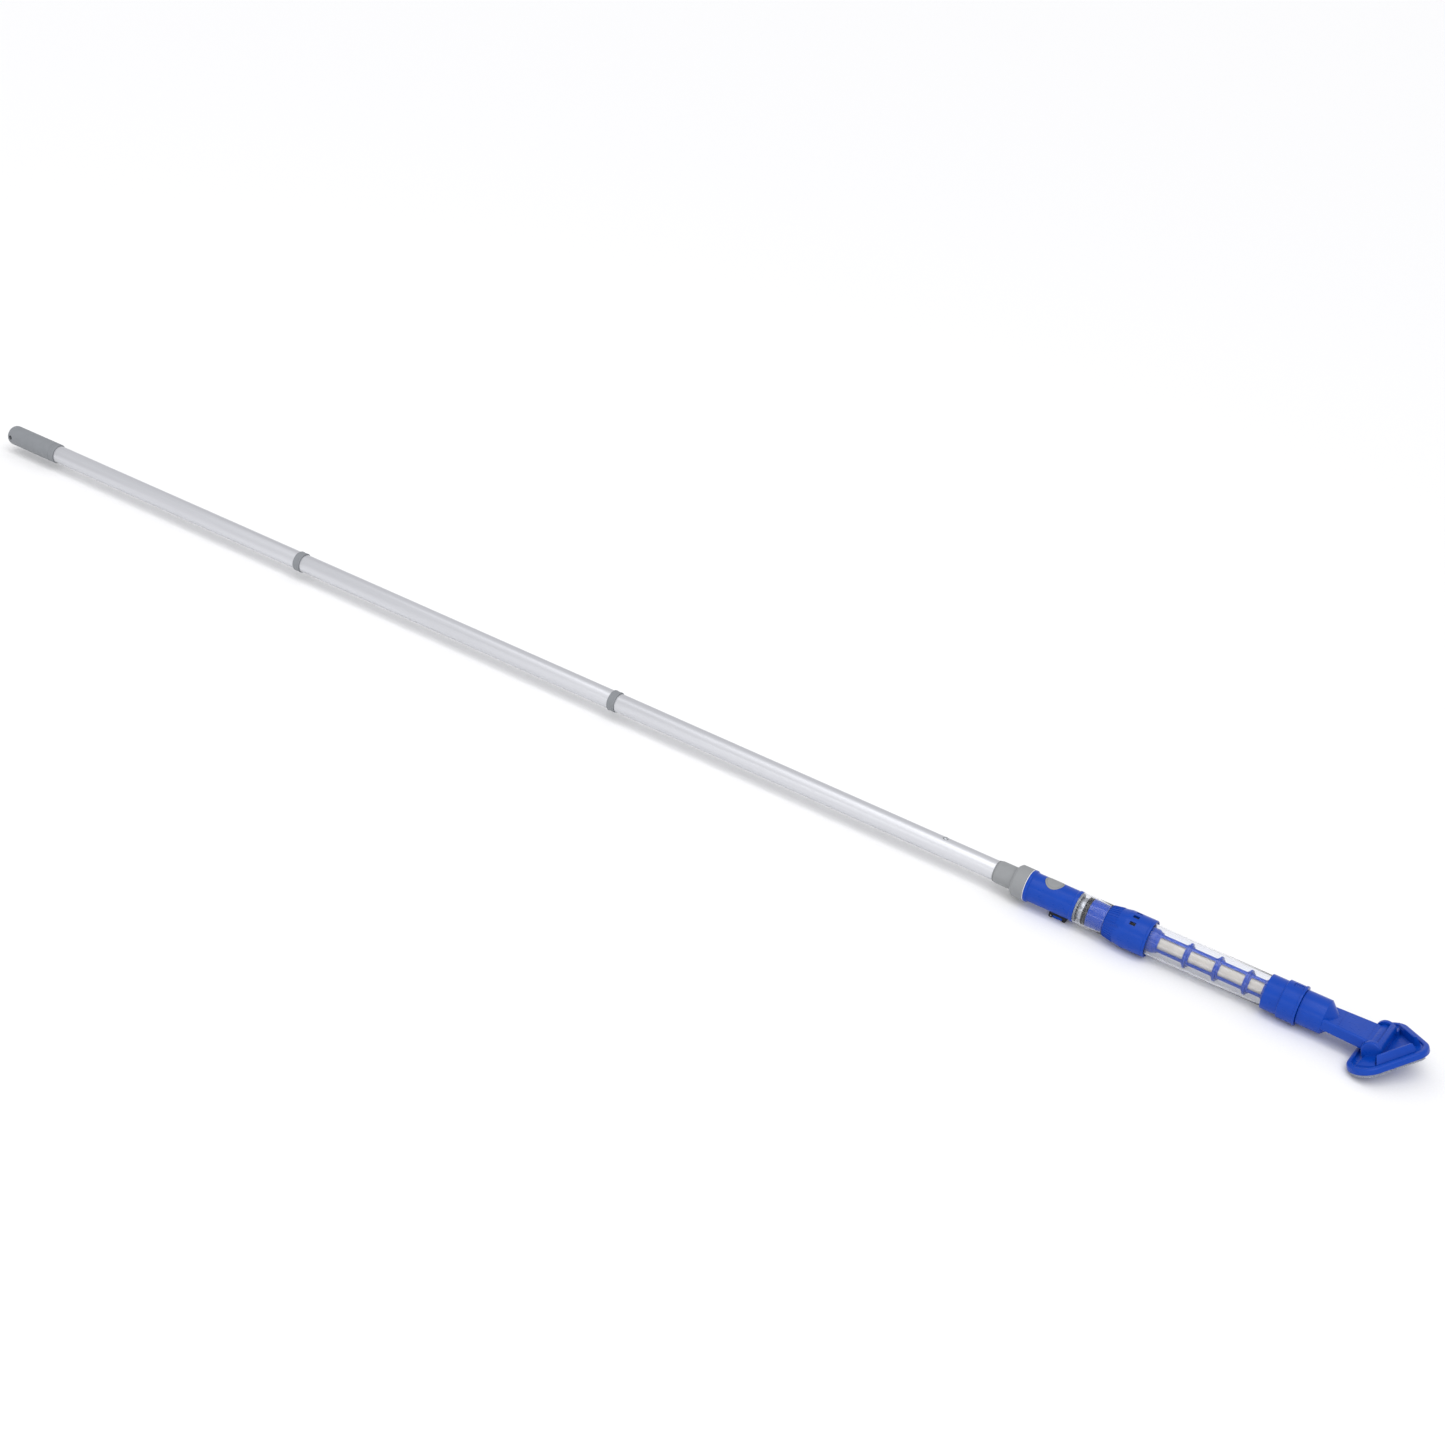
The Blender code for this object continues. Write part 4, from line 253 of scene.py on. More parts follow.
def carve(piece, *tools, how="DIFFERENCE"):
    """Cuts the tools out of a piece, or joins or crosses them with it, and removes them."""
    for tool in tools:
        step = piece.modifiers.new("carve", "BOOLEAN")
        step.operation = how
        step.object = tool
        step.solver = "EXACT"
        apply_modifiers(piece)
        if not piece.data.polygons:
            raise RuntimeError(piece.name + " has nothing left after its " + how.lower())
        bpy.data.objects.remove(tool)
    return piece


def soften(piece, width=0.3 * MM, segments=2, angle=SHARP):
    """Rounds the edges that carving left crisp."""
    step = piece.modifiers.new("soften", "BEVEL")
    step.width = width
    step.segments = segments
    step.limit_method = "ANGLE"
    step.angle_limit = angle
    step.use_clamp_overlap = True
    step.harden_normals = False
    apply_modifiers(piece)
    return piece


def rotated(piece, angle, axis="X", centre=None):
    """Turns a piece's mesh about an axis through centre, in its own space."""
    turn = Matrix.Rotation(angle, 4, axis)
    if centre is not None:
        turn = Matrix.Translation(centre) @ turn @ Matrix.Translation(-Vector(centre))
    piece.data.transform(turn)
    return piece


def joined(name, pieces):
    """Several pieces in one mesh, each left as it lies."""
    form = bmesh.new()
    for piece in pieces:
        piece.data.transform(Matrix.Translation(piece.location - pieces[0].location))
        form.from_mesh(piece.data)
    mesh = bpy.data.meshes.new(name)
    form.to_mesh(mesh)
    form.free()
    made = new_piece(name, mesh, pieces[0].location.copy())
    for piece in pieces:
        bpy.data.objects.remove(piece)
    return made


def settle(piece, body, slot, *stands_for):
    """Gives a piece its finish and lets it ride on its body, for the nodes it stands for."""
    piece.data.materials.clear()
    piece.data.materials.append(finish(slot))
    for polygon in piece.data.polygons:
        polygon.use_smooth = True
        polygon.material_index = 0
    piece.data.set_sharp_from_angle(angle=SHARP)
    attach(piece, body)
    if stands_for:
        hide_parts(*stands_for)
    return piece


# ---------------------------------------------------------------- finishes
def linear(colour):
    """An sRGB hex colour such as #1A4FC0 as linear red, green, blue and full alpha."""
    channels = [int(colour[i:i + 2], 16) / 255 for i in (1, 3, 5)]
    return tuple(c / 12.92 if c <= 0.04045 else ((c + 0.055) / 1.055) ** 2.4
                 for c in channels) + (1.0,)


def add_node(tree, kind, settings=None, links=None):
    """Adds a shader node; settings go to its sockets or its own options, links join its sockets."""
    made = tree.nodes.new(kind)
    for key, value in (settings or {}).items():
        if isinstance(key, int) or key in made.inputs:
            made.inputs[key].default_value = value
        else:
            setattr(made, key, value)
    for key, source in (links or {}).items():
        tree.links.new(source, made.inputs[key])
    return made


def per_metre(size_mm):
    """Texture scale that gives a feature of the stated size."""
    return 1.0 / (size_mm * MM)


def new_finish(name, settings):
    """An empty material with its surface shader, its tree and the object's own coordinates."""
    material = bpy.data.materials.new(name)
    material.use_nodes = True
    tree = material.node_tree
    tree.nodes.clear()
    shader = add_node(tree, "ShaderNodeBsdfPrincipled", settings)
    add_node(tree, "ShaderNodeOutputMaterial", links={"Surface": shader.outputs["BSDF"]})
    place = add_node(tree, "ShaderNodeTexCoord").outputs["Object"]
    return material, tree, shader, place


def grain(tree, place, size_mm, detail=2.0, stretch=(1.0, 1.0, 1.0)):
    """Noise with features of the stated size, drawn out by stretch."""
    scaled = add_node(tree, "ShaderNodeMapping", {"Scale": stretch}, {"Vector": place})
    return add_node(tree, "ShaderNodeTexNoise", {"Scale": per_metre(size_mm), "Detail": detail},
                    {"Vector": scaled.outputs["Vector"]}).outputs["Fac"]


def spread(tree, source, low, high, start=0.3, end=0.7):
    """A grain's value stretched to lie between low and high."""
    return add_node(tree, "ShaderNodeMapRange",
                    {"From Min": start, "From Max": end, "To Min": low, "To Max": high},
                    {"Value": source}).outputs["Result"]


def two_tone(tree, factor, first, second):
    return add_node(tree, "ShaderNodeMix", {"data_type": "RGBA", 6: first, 7: second},
                    {0: factor}).outputs[2]


def shaded(colour, amount):
    """A colour made lighter or darker by an amount, in linear terms."""
    return tuple(min(1.0, channel * amount) for channel in colour[:3]) + (1.0,)


def raise_surface(tree, shader, height, strength, depth_mm):
    bump = add_node(tree, "ShaderNodeBump", {"Strength": strength, "Distance": depth_mm * MM},
                    {"Height": height})
    tree.links.new(bump.outputs["Normal"], shader.inputs["Normal"])


def moulded_abs(name, colour, roughness, grain_mm, depth_mm=0.03):
    """Injection-moulded ABS: a soft, slightly uneven gloss over the mould's fine texture."""
    material, tree, shader, place = new_finish(name, {"IOR": 1.53, "Specular IOR Level": 0.22})
    cloudy = grain(tree, place, 14.0)
    tree.links.new(two_tone(tree, spread(tree, cloudy, 0.0, 1.0), shaded(colour, 0.97),
                            shaded(colour, 1.03)), shader.inputs["Base Color"])
    wiped = grain(tree, place, 4.0, 3.0, (0.35, 1.0, 1.0))
    tree.links.new(spread(tree, wiped, roughness - 0.04, roughness + 0.05),
                   shader.inputs["Roughness"])
    # A mould's spark texture is finer than this; it is drawn at a size that shows.
    raise_surface(tree, shader, grain(tree, place, grain_mm, 3.0), 0.15, depth_mm)
    return material


def anodised_aluminium(colour):
    """Drawn and clear-anodised tube: silvery white, with faint lines along its length."""
    material, tree, shader, place = new_finish("anodised aluminium tube", {"Metallic": 1.0})
    # Draw lines run for hundreds of millimetres and are about a millimetre apart.
    lines = grain(tree, place, 1.1, 2.0, (0.004, 1.0, 1.0))
    broad = grain(tree, place, 7.0, 2.0, (0.012, 1.0, 1.0))
    tree.links.new(two_tone(tree, spread(tree, broad, 0.0, 1.0), shaded(colour, 0.95),
                            shaded(colour, 1.03)), shader.inputs["Base Color"])
    tree.links.new(spread(tree, lines, 0.38, 0.5), shader.inputs["Roughness"])
    raise_surface(tree, shader, lines, 0.1, 0.02)
    return material


def pressed_steel():
    """Zinc-plated, turned steel: cool grey with fine lines round the axis."""
    material, tree, shader, place = new_finish("zinc plated steel", {"Metallic": 1.0})
    rings = grain(tree, place, 0.7, 2.0, (1.0, 0.05, 0.05))
    tree.links.new(two_tone(tree, spread(tree, rings, 0.0, 1.0), linear("#A3A6AB"),
                            linear("#C9CBCE")), shader.inputs["Base Color"])
    tree.links.new(spread(tree, rings, 0.22, 0.38), shader.inputs["Roughness"])
    raise_surface(tree, shader, rings, 0.2, 0.02)
    return material


def rubber(name, colour, roughness):
    """Moulded nitrile or silicone rubber: matt, with a dusty bloom."""
    material, tree, shader, place = new_finish(name, {"IOR": 1.5, "Specular IOR Level": 0.35})
    bloom = grain(tree, place, 3.0, 4.0)
    tree.links.new(two_tone(tree, spread(tree, bloom, 0.0, 1.0), colour, shaded(colour, 1.35)),
                   shader.inputs["Base Color"])
    tree.links.new(spread(tree, bloom, roughness - 0.08, roughness + 0.1),
                   shader.inputs["Roughness"])
    raise_surface(tree, shader, grain(tree, place, 0.5, 2.0), 0.3, 0.04)
    return material


def clear_polycarbonate(name, tint, haze):
    """Moulded clear polycarbonate: glossy, with a faint tint that gathers at its edges."""
    material, tree, shader, place = new_finish(name, {
        "Base Color": tint, "IOR": 1.36, "Specular IOR Level": 0.3,
        "Transmission Weight": 1.0 - haze})
    smears = grain(tree, place, 16.0, 4.0, (0.3, 1.0, 1.0))
    tree.links.new(spread(tree, smears, 0.01, 0.03), shader.inputs["Roughness"])
    raise_surface(tree, shader, grain(tree, place, 22.0, 1.0), 0.03, 0.1)
    lamp = add_node(tree, "ShaderNodeLightPath").outputs["Is Shadow Ray"]
    pane = add_node(tree, "ShaderNodeBsdfTransparent", {"Color": shaded(tint, 0.97)})
    mixed = add_node(tree, "ShaderNodeMixShader", links={
        0: lamp, 1: shader.outputs["BSDF"], 2: pane.outputs["BSDF"]})
    output = next(n for n in tree.nodes if n.type == "OUTPUT_MATERIAL")
    tree.links.new(mixed.outputs["Shader"], output.inputs["Surface"])
    return material


WAVE_PERIOD = 2 * math.pi / 20     # metres between the bands of a wave texture of scale 1


def woven_mesh(colour):
    """Woven nylon filter cloth: a square weave of off-white threads, with painted shade in the gaps
    between them.
    """
    material, tree, shader, place = new_finish("woven nylon filter cloth", {
        "IOR": 1.53, "Specular IOR Level": 0.25, "Roughness": 0.85})
    along = add_node(tree, "ShaderNodeUVMap", {"uv_map": "around"}).outputs["UV"]
    # The real threads are 0.1 mm apart; they are drawn 1.8 mm apart so that the weave shows.
    waves = []
    for direction in ("X", "Y"):
        waves.append(add_node(tree, "ShaderNodeTexWave", {
            "bands_direction": direction, "Scale": per_metre(1.8) * WAVE_PERIOD,
            "Distortion": 0.3, "Detail": 1.0}, {"Vector": along}).outputs["Fac"])
    weave = add_node(tree, "ShaderNodeMath", {"operation": "MULTIPLY"},
                     {0: waves[0], 1: waves[1]}).outputs[0]
    stain = grain(tree, place, 18.0, 3.0)
    cloth = two_tone(tree, spread(tree, stain, 0.0, 1.0), shaded(colour, 0.9), shaded(colour, 1.05))
    # Where the weave is low, in the gaps between the threads, the cloth is darkened to 45%: this is
    # painted shade for the gaps.
    tree.links.new(add_node(tree, "ShaderNodeMix",
                            {"data_type": "RGBA", "blend_type": "MIX", 6: shaded(colour, 0.45)},
                            {0: spread(tree, weave, 0.35, 1.0, 0.0, 0.6), 7: cloth}).outputs[2],
                   shader.inputs["Base Color"])
    raise_surface(tree, shader, weave, 0.7, 0.15)
    return material


def bristle_nylon(colour):
    """Extruded nylon filament: cloudy grey that lets a little light through."""
    material, tree, shader, place = new_finish("nylon bristle", {
        "IOR": 1.53, "Subsurface Weight": 0.25, "Subsurface Radius": (0.002, 0.002, 0.002)})
    strands = grain(tree, place, 2.2, 3.0, (1.0, 1.0, 0.2))
    tree.links.new(two_tone(tree, spread(tree, strands, 0.0, 1.0), shaded(colour, 0.8),
                            shaded(colour, 1.2)), shader.inputs["Base Color"])
    tree.links.new(spread(tree, strands, 0.3, 0.55), shader.inputs["Roughness"])
    return material


def cell_sleeve(colour):
    """Heat-shrunk PVC over a battery cell: glossy, faintly wrinkled."""
    material, tree, shader, place = new_finish("shrunk pvc sleeve", {"IOR": 1.53})
    wrinkles = grain(tree, place, 5.0, 3.0, (0.3, 1.0, 1.0))
    tree.links.new(two_tone(tree, spread(tree, wrinkles, 0.0, 1.0), shaded(colour, 0.85),
                            shaded(colour, 1.1)), shader.inputs["Base Color"])
    tree.links.new(spread(tree, wrinkles, 0.22, 0.4), shader.inputs["Roughness"])
    raise_surface(tree, shader, wrinkles, 0.25, 0.08)
    return material


def solder_mask(colour):
    """Glass-fibre circuit board under green solder mask, with copper tracks showing as ridges."""
    material, tree, shader, place = new_finish("solder masked board",
                                               {"IOR": 1.55, "Roughness": 0.35})
    tracks = add_node(tree, "ShaderNodeTexBrick", {
        "Scale": per_metre(9.0), "Mortar Size": 0.06, "Color1": (0.0, 0.0, 0.0, 1.0),
        "Color2": (0.1, 0.1, 0.1, 1.0), "Mortar": (1.0, 1.0, 1.0, 1.0)},
        {"Vector": place}).outputs["Fac"]
    tree.links.new(two_tone(tree, tracks, colour, shaded(colour, 2.2)), shader.inputs["Base Color"])
    raise_surface(tree, shader, tracks, 0.4, 0.05)
    return material


def studio_paper():
    """Matt white paper sweep."""
    material, tree, shader, place = new_finish("white studio paper", {"Roughness": 0.95,
                                                                      "Specular IOR Level": 0.1})
    fibres = grain(tree, place, 3.0, 2.0)
    tree.links.new(two_tone(tree, fibres, linear("#F3F3F3"), linear("#FBFBFB")),
                   shader.inputs["Base Color"])
    return material


FINISHES = {}


def finish(name):
    """The material of a slot, made the first time it is asked for, in the colours of the panel."""
    if name in FINISHES:
        return FINISHES[name]
    colours = bpy.context.scene.pool_vacuum_colours
    picked = {key: tuple(getattr(colours, key)) + (1.0,) for key in (
        "blue_plastic", "pale_plastic", "dark_plastic", "aluminium", "clear_tint", "cloth",
        "bristle")}
    makers = {
        "blue_plastic": lambda: moulded_abs("blue moulded abs", picked["blue_plastic"], 0.30, 1.1),
        "grey_plastic": lambda: moulded_abs("pale grey moulded abs", picked["pale_plastic"], 0.48,
                                            0.8),
        "dark_grey_plastic": lambda: moulded_abs("dark grey moulded abs", picked["dark_plastic"],
                                                 0.5, 0.8),
        "pole_aluminium": lambda: anodised_aluminium(picked["aluminium"]), "steel": pressed_steel,
        "black_rubber": lambda: rubber("black nitrile rubber", linear("#17181A"), 0.62),
        "silicone": lambda: rubber("white silicone rubber", linear("#E4E4E2"), 0.55),
        "clear_plastic": lambda: clear_polycarbonate("clear polycarbonate", picked["clear_tint"],
                                                     0.01),
        "filter_cloth": lambda: woven_mesh(picked["cloth"]),
        "bristle_nylon": lambda: bristle_nylon(picked["bristle"]),
        "cell_wrap": lambda: cell_sleeve(linear("#2E7F66")),
        "circuit_board": lambda: solder_mask(linear("#0F4A26")),
    }
    FINISHES[name] = makers[name]()
    return FINISHES[name]


# ---------------------------------------------------------------- what a user would change
def colour_of(name, description, hex_colour):
    return bpy.props.FloatVectorProperty(name=name, description=description, subtype="COLOR",
                                         size=3, min=0.0, max=1.0, default=linear(hex_colour)[:3])


def length_of(name, description, default):
    return bpy.props.FloatProperty(name=name, description=description, subtype="DISTANCE",
                                   unit="LENGTH", min=0.0, precision=4, default=default)


def angle_of(name, description, degrees):
    return bpy.props.FloatProperty(name=name, description=description, subtype="ANGLE",
                                   unit="ROTATION", default=math.radians(degrees))


def count_of(name, description, default, least=1):
    return bpy.props.IntProperty(name=name, description=description, min=least, default=default)


class PoolVacuumColours(bpy.types.PropertyGroup):
    """Colours of the finishes."""
    blue_plastic: colour_of("Blue plastic", "Housing, collar, connector and head", "#0340A8")
    pale_plastic: colour_of("Pale plastic", "Pole adapter, rear cap and button", "#8F9193")
    dark_plastic: colour_of("Dark plastic", "Grip, tube collars and inner mouldings", "#85888C")
    aluminium: colour_of("Aluminium", "Pole tubes", "#D6D7DB")
    clear_tint: colour_of("Clear plastic", "Tint of the chamber and motor cover", "#F9FAFD")
    cloth: colour_of("Filter cloth", "Filter sleeve", "#DDD7CC")
    bristle: colour_of("Bristle", "Brush strips", "#A9AEBA")


class PoolVacuumPole(bpy.types.PropertyGroup):
    """Sizes of the three-tube pole and its grip."""
    wall: length_of("Wall", "Wall of each tube", 1.0 * MM)
    plug: length_of("Plug", "Drawn-down end that enters the next tube", 34.0 * MM)
    shoulder: length_of("Shoulder", "Length of the step down to the plug", 1.5 * MM)
    grip_insert: length_of("Grip insert", "Tube length inside the grip", 80.0 * MM)
    hang_hole: length_of("Hang hole", "Radius of the hole in the grip's end", 4.0 * MM)
    hang_inset: length_of("Hang hole inset", "Grip's end to the hole's middle", 11.5 * MM)
    spigot: length_of("Spigot", "Adapter length inside the lower tube", 118.0 * MM)
    spigot_bore: length_of("Spigot bore", "Radius inside the adapter", 11.7 * MM)


class PoolVacuumHousing(bpy.types.PropertyGroup):
    """Sizes of the battery housing, its button and its charging port."""
    radius: length_of("Radius", "Housing between its lips", 22.0 * MM)
    wall: length_of("Wall", "Housing wall", 2.2 * MM)
    rear_lip: length_of("Rear lip", "Length of the lip against the cap", 4.2 * MM)
    bezel_wall: length_of("Bezel wall", "Width of the pale ring round the button", 2.0 * MM)
    port_radius: length_of("Port", "Radius of the charging port", 4.3 * MM)
    port_half_width: length_of("Port frame", "Half width of the port's frame", 8.0 * MM)


class PoolVacuumPump(bpy.types.PropertyGroup):
    """Sizes of the motor section and the locking collar."""
    clear_wall: length_of("Clear wall", "Wall of the motor cover and the chamber", 2.0 * MM)
    cone: length_of("Cone", "Length of the collar's cone", 28.5 * MM)
    skin: length_of("Collar wall", "Wall of the collar", 2.4 * MM)
    slot_count: count_of("Slots", "Exhaust slots in the collar", 4)
    slot_step: angle_of("Slot step", "Angle from one slot to the next", 26.0)
    slot_length: length_of("Slot length", "Along the collar", 9.0 * MM)
    slot_width: length_of("Slot width", "Round the collar", 5.4 * MM)
    rib_count: count_of("Grip ribs", "Ribs round the collar's cone", 40)


class PoolVacuumChamber(bpy.types.PropertyGroup):
    """Sizes of the filter and the connector."""
    cage_radius: length_of("Cage", "Radius of the filter cage between its rings", 15.2 * MM)
    cage_wall: length_of("Cage wall", "Wall of the filter cage", 1.8 * MM)
    neck: length_of("Filter neck", "Length of the cage's solid neck", 23.0 * MM)
    neck_radius: length_of("Neck radius", "Radius of the cage's neck", 17.5 * MM)
    ring_pitch: length_of("Ring pitch", "From one raised ring to the next", 44.4 * MM)
    ring_width: length_of("Ring width", "Width of a raised ring", 3.2 * MM)
    window: length_of("Window", "Width of a window round the cage", 16.5 * MM)
    window_turn: angle_of("Window turn", "Turn of the windows about the axis", 15.0)
    sleeve_radius: length_of("Sleeve", "Radius of the connector's sleeve", 25.25 * MM)
    sleeve: length_of("Sleeve length", "Connector's sleeve over the chamber", 24.0 * MM)
    ring_radius: length_of("Ring", "Radius of the connector's ring", 27.8 * MM)


class PoolVacuumHead(bpy.types.PropertyGroup):
    """Sizes of the nozzle and the triangular head."""
    neck_thickness: length_of("Neck thickness", "Flat neck, top to bottom", 16.8 * MM)
    neck_rear: length_of("Neck, rear", "Flat neck's width at the nozzle", 50.0 * MM)
    neck_front: length_of("Neck, front", "Flat neck's width at the hinge", 57.0 * MM)
    pitch: angle_of("Pitch", "Tilt of the head, apex up", 24.5)
    rim_width: length_of("Rim", "Width of the rim's underside", 11.0 * MM)
    rim_band: length_of("Rim band", "Width of the rim's rounded upper face", 8.0 * MM)
    ridge_top: length_of("Ridge", "Height of the front ridges above the hinge", 3.0 * MM)
    ridge_width: length_of("Ridge width", "Width of a front ridge's top", 3.2 * MM)
    hood_radius: length_of("Hood", "Radius of the cheeks about the hinge", 14.2 * MM)
    strand_step: length_of("Strand step", "From one bristle to the next", 0.8 * MM)
    strand_rows: count_of("Strand rows", "Rows of bristles in each strip", 5)


class PoolVacuumStage(bpy.types.PropertyGroup):
    """Where the camera stands and how bright the studio is."""
    lens: bpy.props.FloatProperty(name="Lens", description="Focal length on a 36 mm sensor",
                                  subtype="DISTANCE_CAMERA", unit="CAMERA", default=58.547)
    azimuth: angle_of("Azimuth", "Camera's turn from the near side towards the head", 26.660)
    elevation: angle_of("Elevation", "Camera's height above the floor", 27.292)
    roll: angle_of("Roll", "Camera's lean", 10.735)
    distance: length_of("Distance", "Camera to the point it looks at", 3.5554)
    aim_forward: length_of("Aim forward", "Looked-at point ahead of the object's middle", 0.18407)
    aim_height: length_of("Aim height", "Looked-at point above the floor", 0.07158)
    sky: bpy.props.FloatProperty(name="Sky", description="Strength of the light from all round",
                                 min=0.0, default=0.8)


def settings(group):
    return getattr(bpy.context.scene, "pool_vacuum_" + group)


# ---------------------------------------------------------------- stage
FLOOR_HALF = 60.0                  # metres from the middle of the paper to its edge
FLOOR_Z = -0.5 * MM                # just under the object's lowest point
SENSOR_WIDTH = 36.0
SUN_STRENGTH = 1.1
SUN_SPREAD = math.radians(60.0)    # a wide sun, so that its shadows are soft
SUN_TURN = (math.radians(25.0), math.radians(15.0), 0.0)


def softbox(name, place, aim, size, power):
    """A soft rectangular lamp that faces a point."""
    lamp = bpy.data.lights.new(name, "AREA")
    lamp.shape = "RECTANGLE"
    lamp.size, lamp.size_y = size
    lamp.energy = power
    made = bpy.data.objects.new(name, lamp)
    made.location = place
    made.rotation_euler = (Vector(aim) - Vector(place)).to_track_quat("-Z", "Y").to_euler()
    bpy.context.scene.collection.objects.link(made)


class AddStudio(bpy.types.Operator):
    """Lay the paper floor, hang the lamps and set up the camera"""
    bl_idname = "pool_vacuum.add_studio"
    bl_label = "Studio"

    def execute(self, context):
        stage = settings("stage")
        scene = context.scene
        form = bmesh.new()
        bmesh.ops.create_grid(form, x_segments=1, y_segments=1, size=FLOOR_HALF)
        mesh = bpy.data.meshes.new("paper_floor")
        form.to_mesh(mesh)
        form.free()
        floor = new_piece("paper_floor", mesh, (0.0, 0.0, FLOOR_Z))
        floor.data.materials.append(studio_paper())

        low, high = CAD_BOX
        aim = Vector(((low.x + high.x) / 2 + stage.aim_forward, 0.0, stage.aim_height))
        reach = math.cos(stage.elevation)
        away = Vector((math.sin(stage.azimuth) * reach, -math.cos(stage.azimuth) * reach,
                       math.sin(stage.elevation)))
        camera = bpy.data.objects.new("camera", bpy.data.cameras.new("camera"))
        camera.data.lens = stage.lens
        camera.data.sensor_width = SENSOR_WIDTH
        camera.data.clip_end = 200.0
        turn = away.to_track_quat("Z", "Y").to_matrix().to_4x4()
        camera.matrix_world = (Matrix.Translation(aim + away * stage.distance) @ turn
                               @ Matrix.Rotation(stage.roll, 4, "Z"))
        scene.collection.objects.link(camera)
        scene.camera = camera

        world = bpy.data.worlds.new("studio")
        world.use_nodes = True
        back = world.node_tree.nodes["Background"]
        back.inputs["Color"].default_value = linear("#F8F8FA")
        back.inputs["Strength"].default_value = stage.sky
        scene.world = world
        scene.view_settings.view_transform = "Standard"

        length = high.x - low.x
        softbox("overhead_softbox", (0.1, -0.3, 2.2), (0.1, 0.0, 0.0), (1.2 * length, 0.5), 5.0)
        softbox("near_strip", (0.2, -3.0, 0.75), (0.2, 0.0, 0.03), (1.6 * length, 0.5), 10.0)
        sun = bpy.data.lights.new("even_light", "SUN")
        sun.energy = SUN_STRENGTH
        sun.angle = SUN_SPREAD
        lamp = bpy.data.objects.new("even_light", sun)
        lamp.rotation_euler = SUN_TURN
        scene.collection.objects.link(lamp)
        return {"FINISHED"}


# ---------------------------------------------------------------- pole
def plain_tube(name, node, front_plug):
    """A drawn tube; the upper two end in a plug that enters the next tube."""
    pole = settings("pole")
    rear, front, radius = extent(node)
    bore = radius - pole.wall
    if front_plug:
        shoulder = front - pole.shoulder - pole.plug
        neck = shoulder + pole.shoulder - GAP
        plug = bore - GAP
        outline = [(rear, radius, 0.3 * MM), (shoulder, radius, 1.0 * MM), (neck, plug, 0.8 * MM),
                   (front, plug, 0.3 * MM), (front, plug - pole.wall), (neck, plug - pole.wall),
                   (shoulder, bore), (rear, bore)]
    else:
        outline = [(rear, radius, 0.3 * MM), (front, radius, 0.3 * MM), (front, bore), (rear, bore)]
    return turned(name, outline)


class AddPoleTubes(bpy.types.Operator):
    """Add the three aluminium tubes and the rings at their joints"""
    bl_idname = "pool_vacuum.add_pole_tubes"
    bl_label = "Pole tubes"

    def execute(self, context):
        lower = plain_tube("lower_pole_tube", "lower_tube", False)
        pin_x, _ = middle_of("snap_button")
        hole = rod("snap_hole", 0.0, 2 * TUBE_R, SNAP_HOLE_R, SMALL_SIDES, "Z",
                   (pin_x, 0.0, AXIS_Z))
        settle(carve(lower, hole), "vacuum", "pole_aluminium", "lower_tube")
        settle(plain_tube("middle_pole_tube", "middle_tube", True), "middle_pole",
               "pole_aluminium", "middle_tube")
        settle(plain_tube("upper_pole_tube", "upper_tube", True), "upper_pole",
               "pole_aluminium", "upper_tube")
        for name, node, body in (("lower_joint_ring", "lower_tube_collar", "vacuum"),
                                 ("upper_joint_ring", "upper_tube_collar", "middle_pole")):
            rear, front, radius = extent(node)
            bore = TUBE_R + GAP
            waist = radius - 0.35 * MM
            ring = turned(name, [
                (rear, bore), (rear, radius - 0.5 * MM, 0.3 * MM), (rear + MM, radius, 0.6 * MM),
                (rear + 2.6 * MM, radius, 0.3 * MM), (rear + 3.0 * MM, waist, 0.3 * MM),
                (front - 3.0 * MM, waist, 0.3 * MM), (front - 2.6 * MM, radius, 0.3 * MM),
                (front - MM, radius, 0.6 * MM), (front, radius - 0.5 * MM, 0.3 * MM),
                (front, bore)])
            settle(ring, body, "dark_grey_plastic", node)
        return {"FINISHED"}


class AddHandleGrip(bpy.types.Operator):
    """Add the moulded grip with its rounded end and hang hole"""
    bl_idname = "pool_vacuum.add_handle_grip"
    bl_label = "Handle grip"

    def execute(self, context):
        pole = settings("pole")
        tip, front, radius = extent("handle_grip")
        bore = TUBE_R + GAP
        tube_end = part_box("upper_tube")[0].x - GAP
        dome = 11.0 * MM
        nose = []
        for i in range(13):
            angle = math.pi / 2 * i / 12
            nose.append((tip + dome * (1 - math.cos(angle)), radius * math.sin(angle) ** 0.55))
        grip = turned("moulded_grip", nose + [
            (front - 12.0 * MM, radius, 0.3 * MM), (front - 11.7 * MM, radius - 0.4 * MM),
            (front - 10.7 * MM, radius - 0.4 * MM), (front - 10.4 * MM, radius, 0.3 * MM),
            (front - 1.6 * MM, radius, 1.2 * MM), (front, radius - 0.9 * MM, 0.4 * MM),
            (front, bore), (tube_end, bore), (tube_end, 0.0)])
        reach = radius + MM
        hole = rod("hang_hole", -reach, reach, pole.hang_hole, SMALL_SIDES, "Y",
                      (tip + pole.hang_inset, 0.0, AXIS_Z))
        soften(carve(grip, hole), 0.5 * MM, 3, math.radians(50))
        settle(grip, "upper_pole", "dark_grey_plastic", "handle_grip")
        return {"FINISHED"}


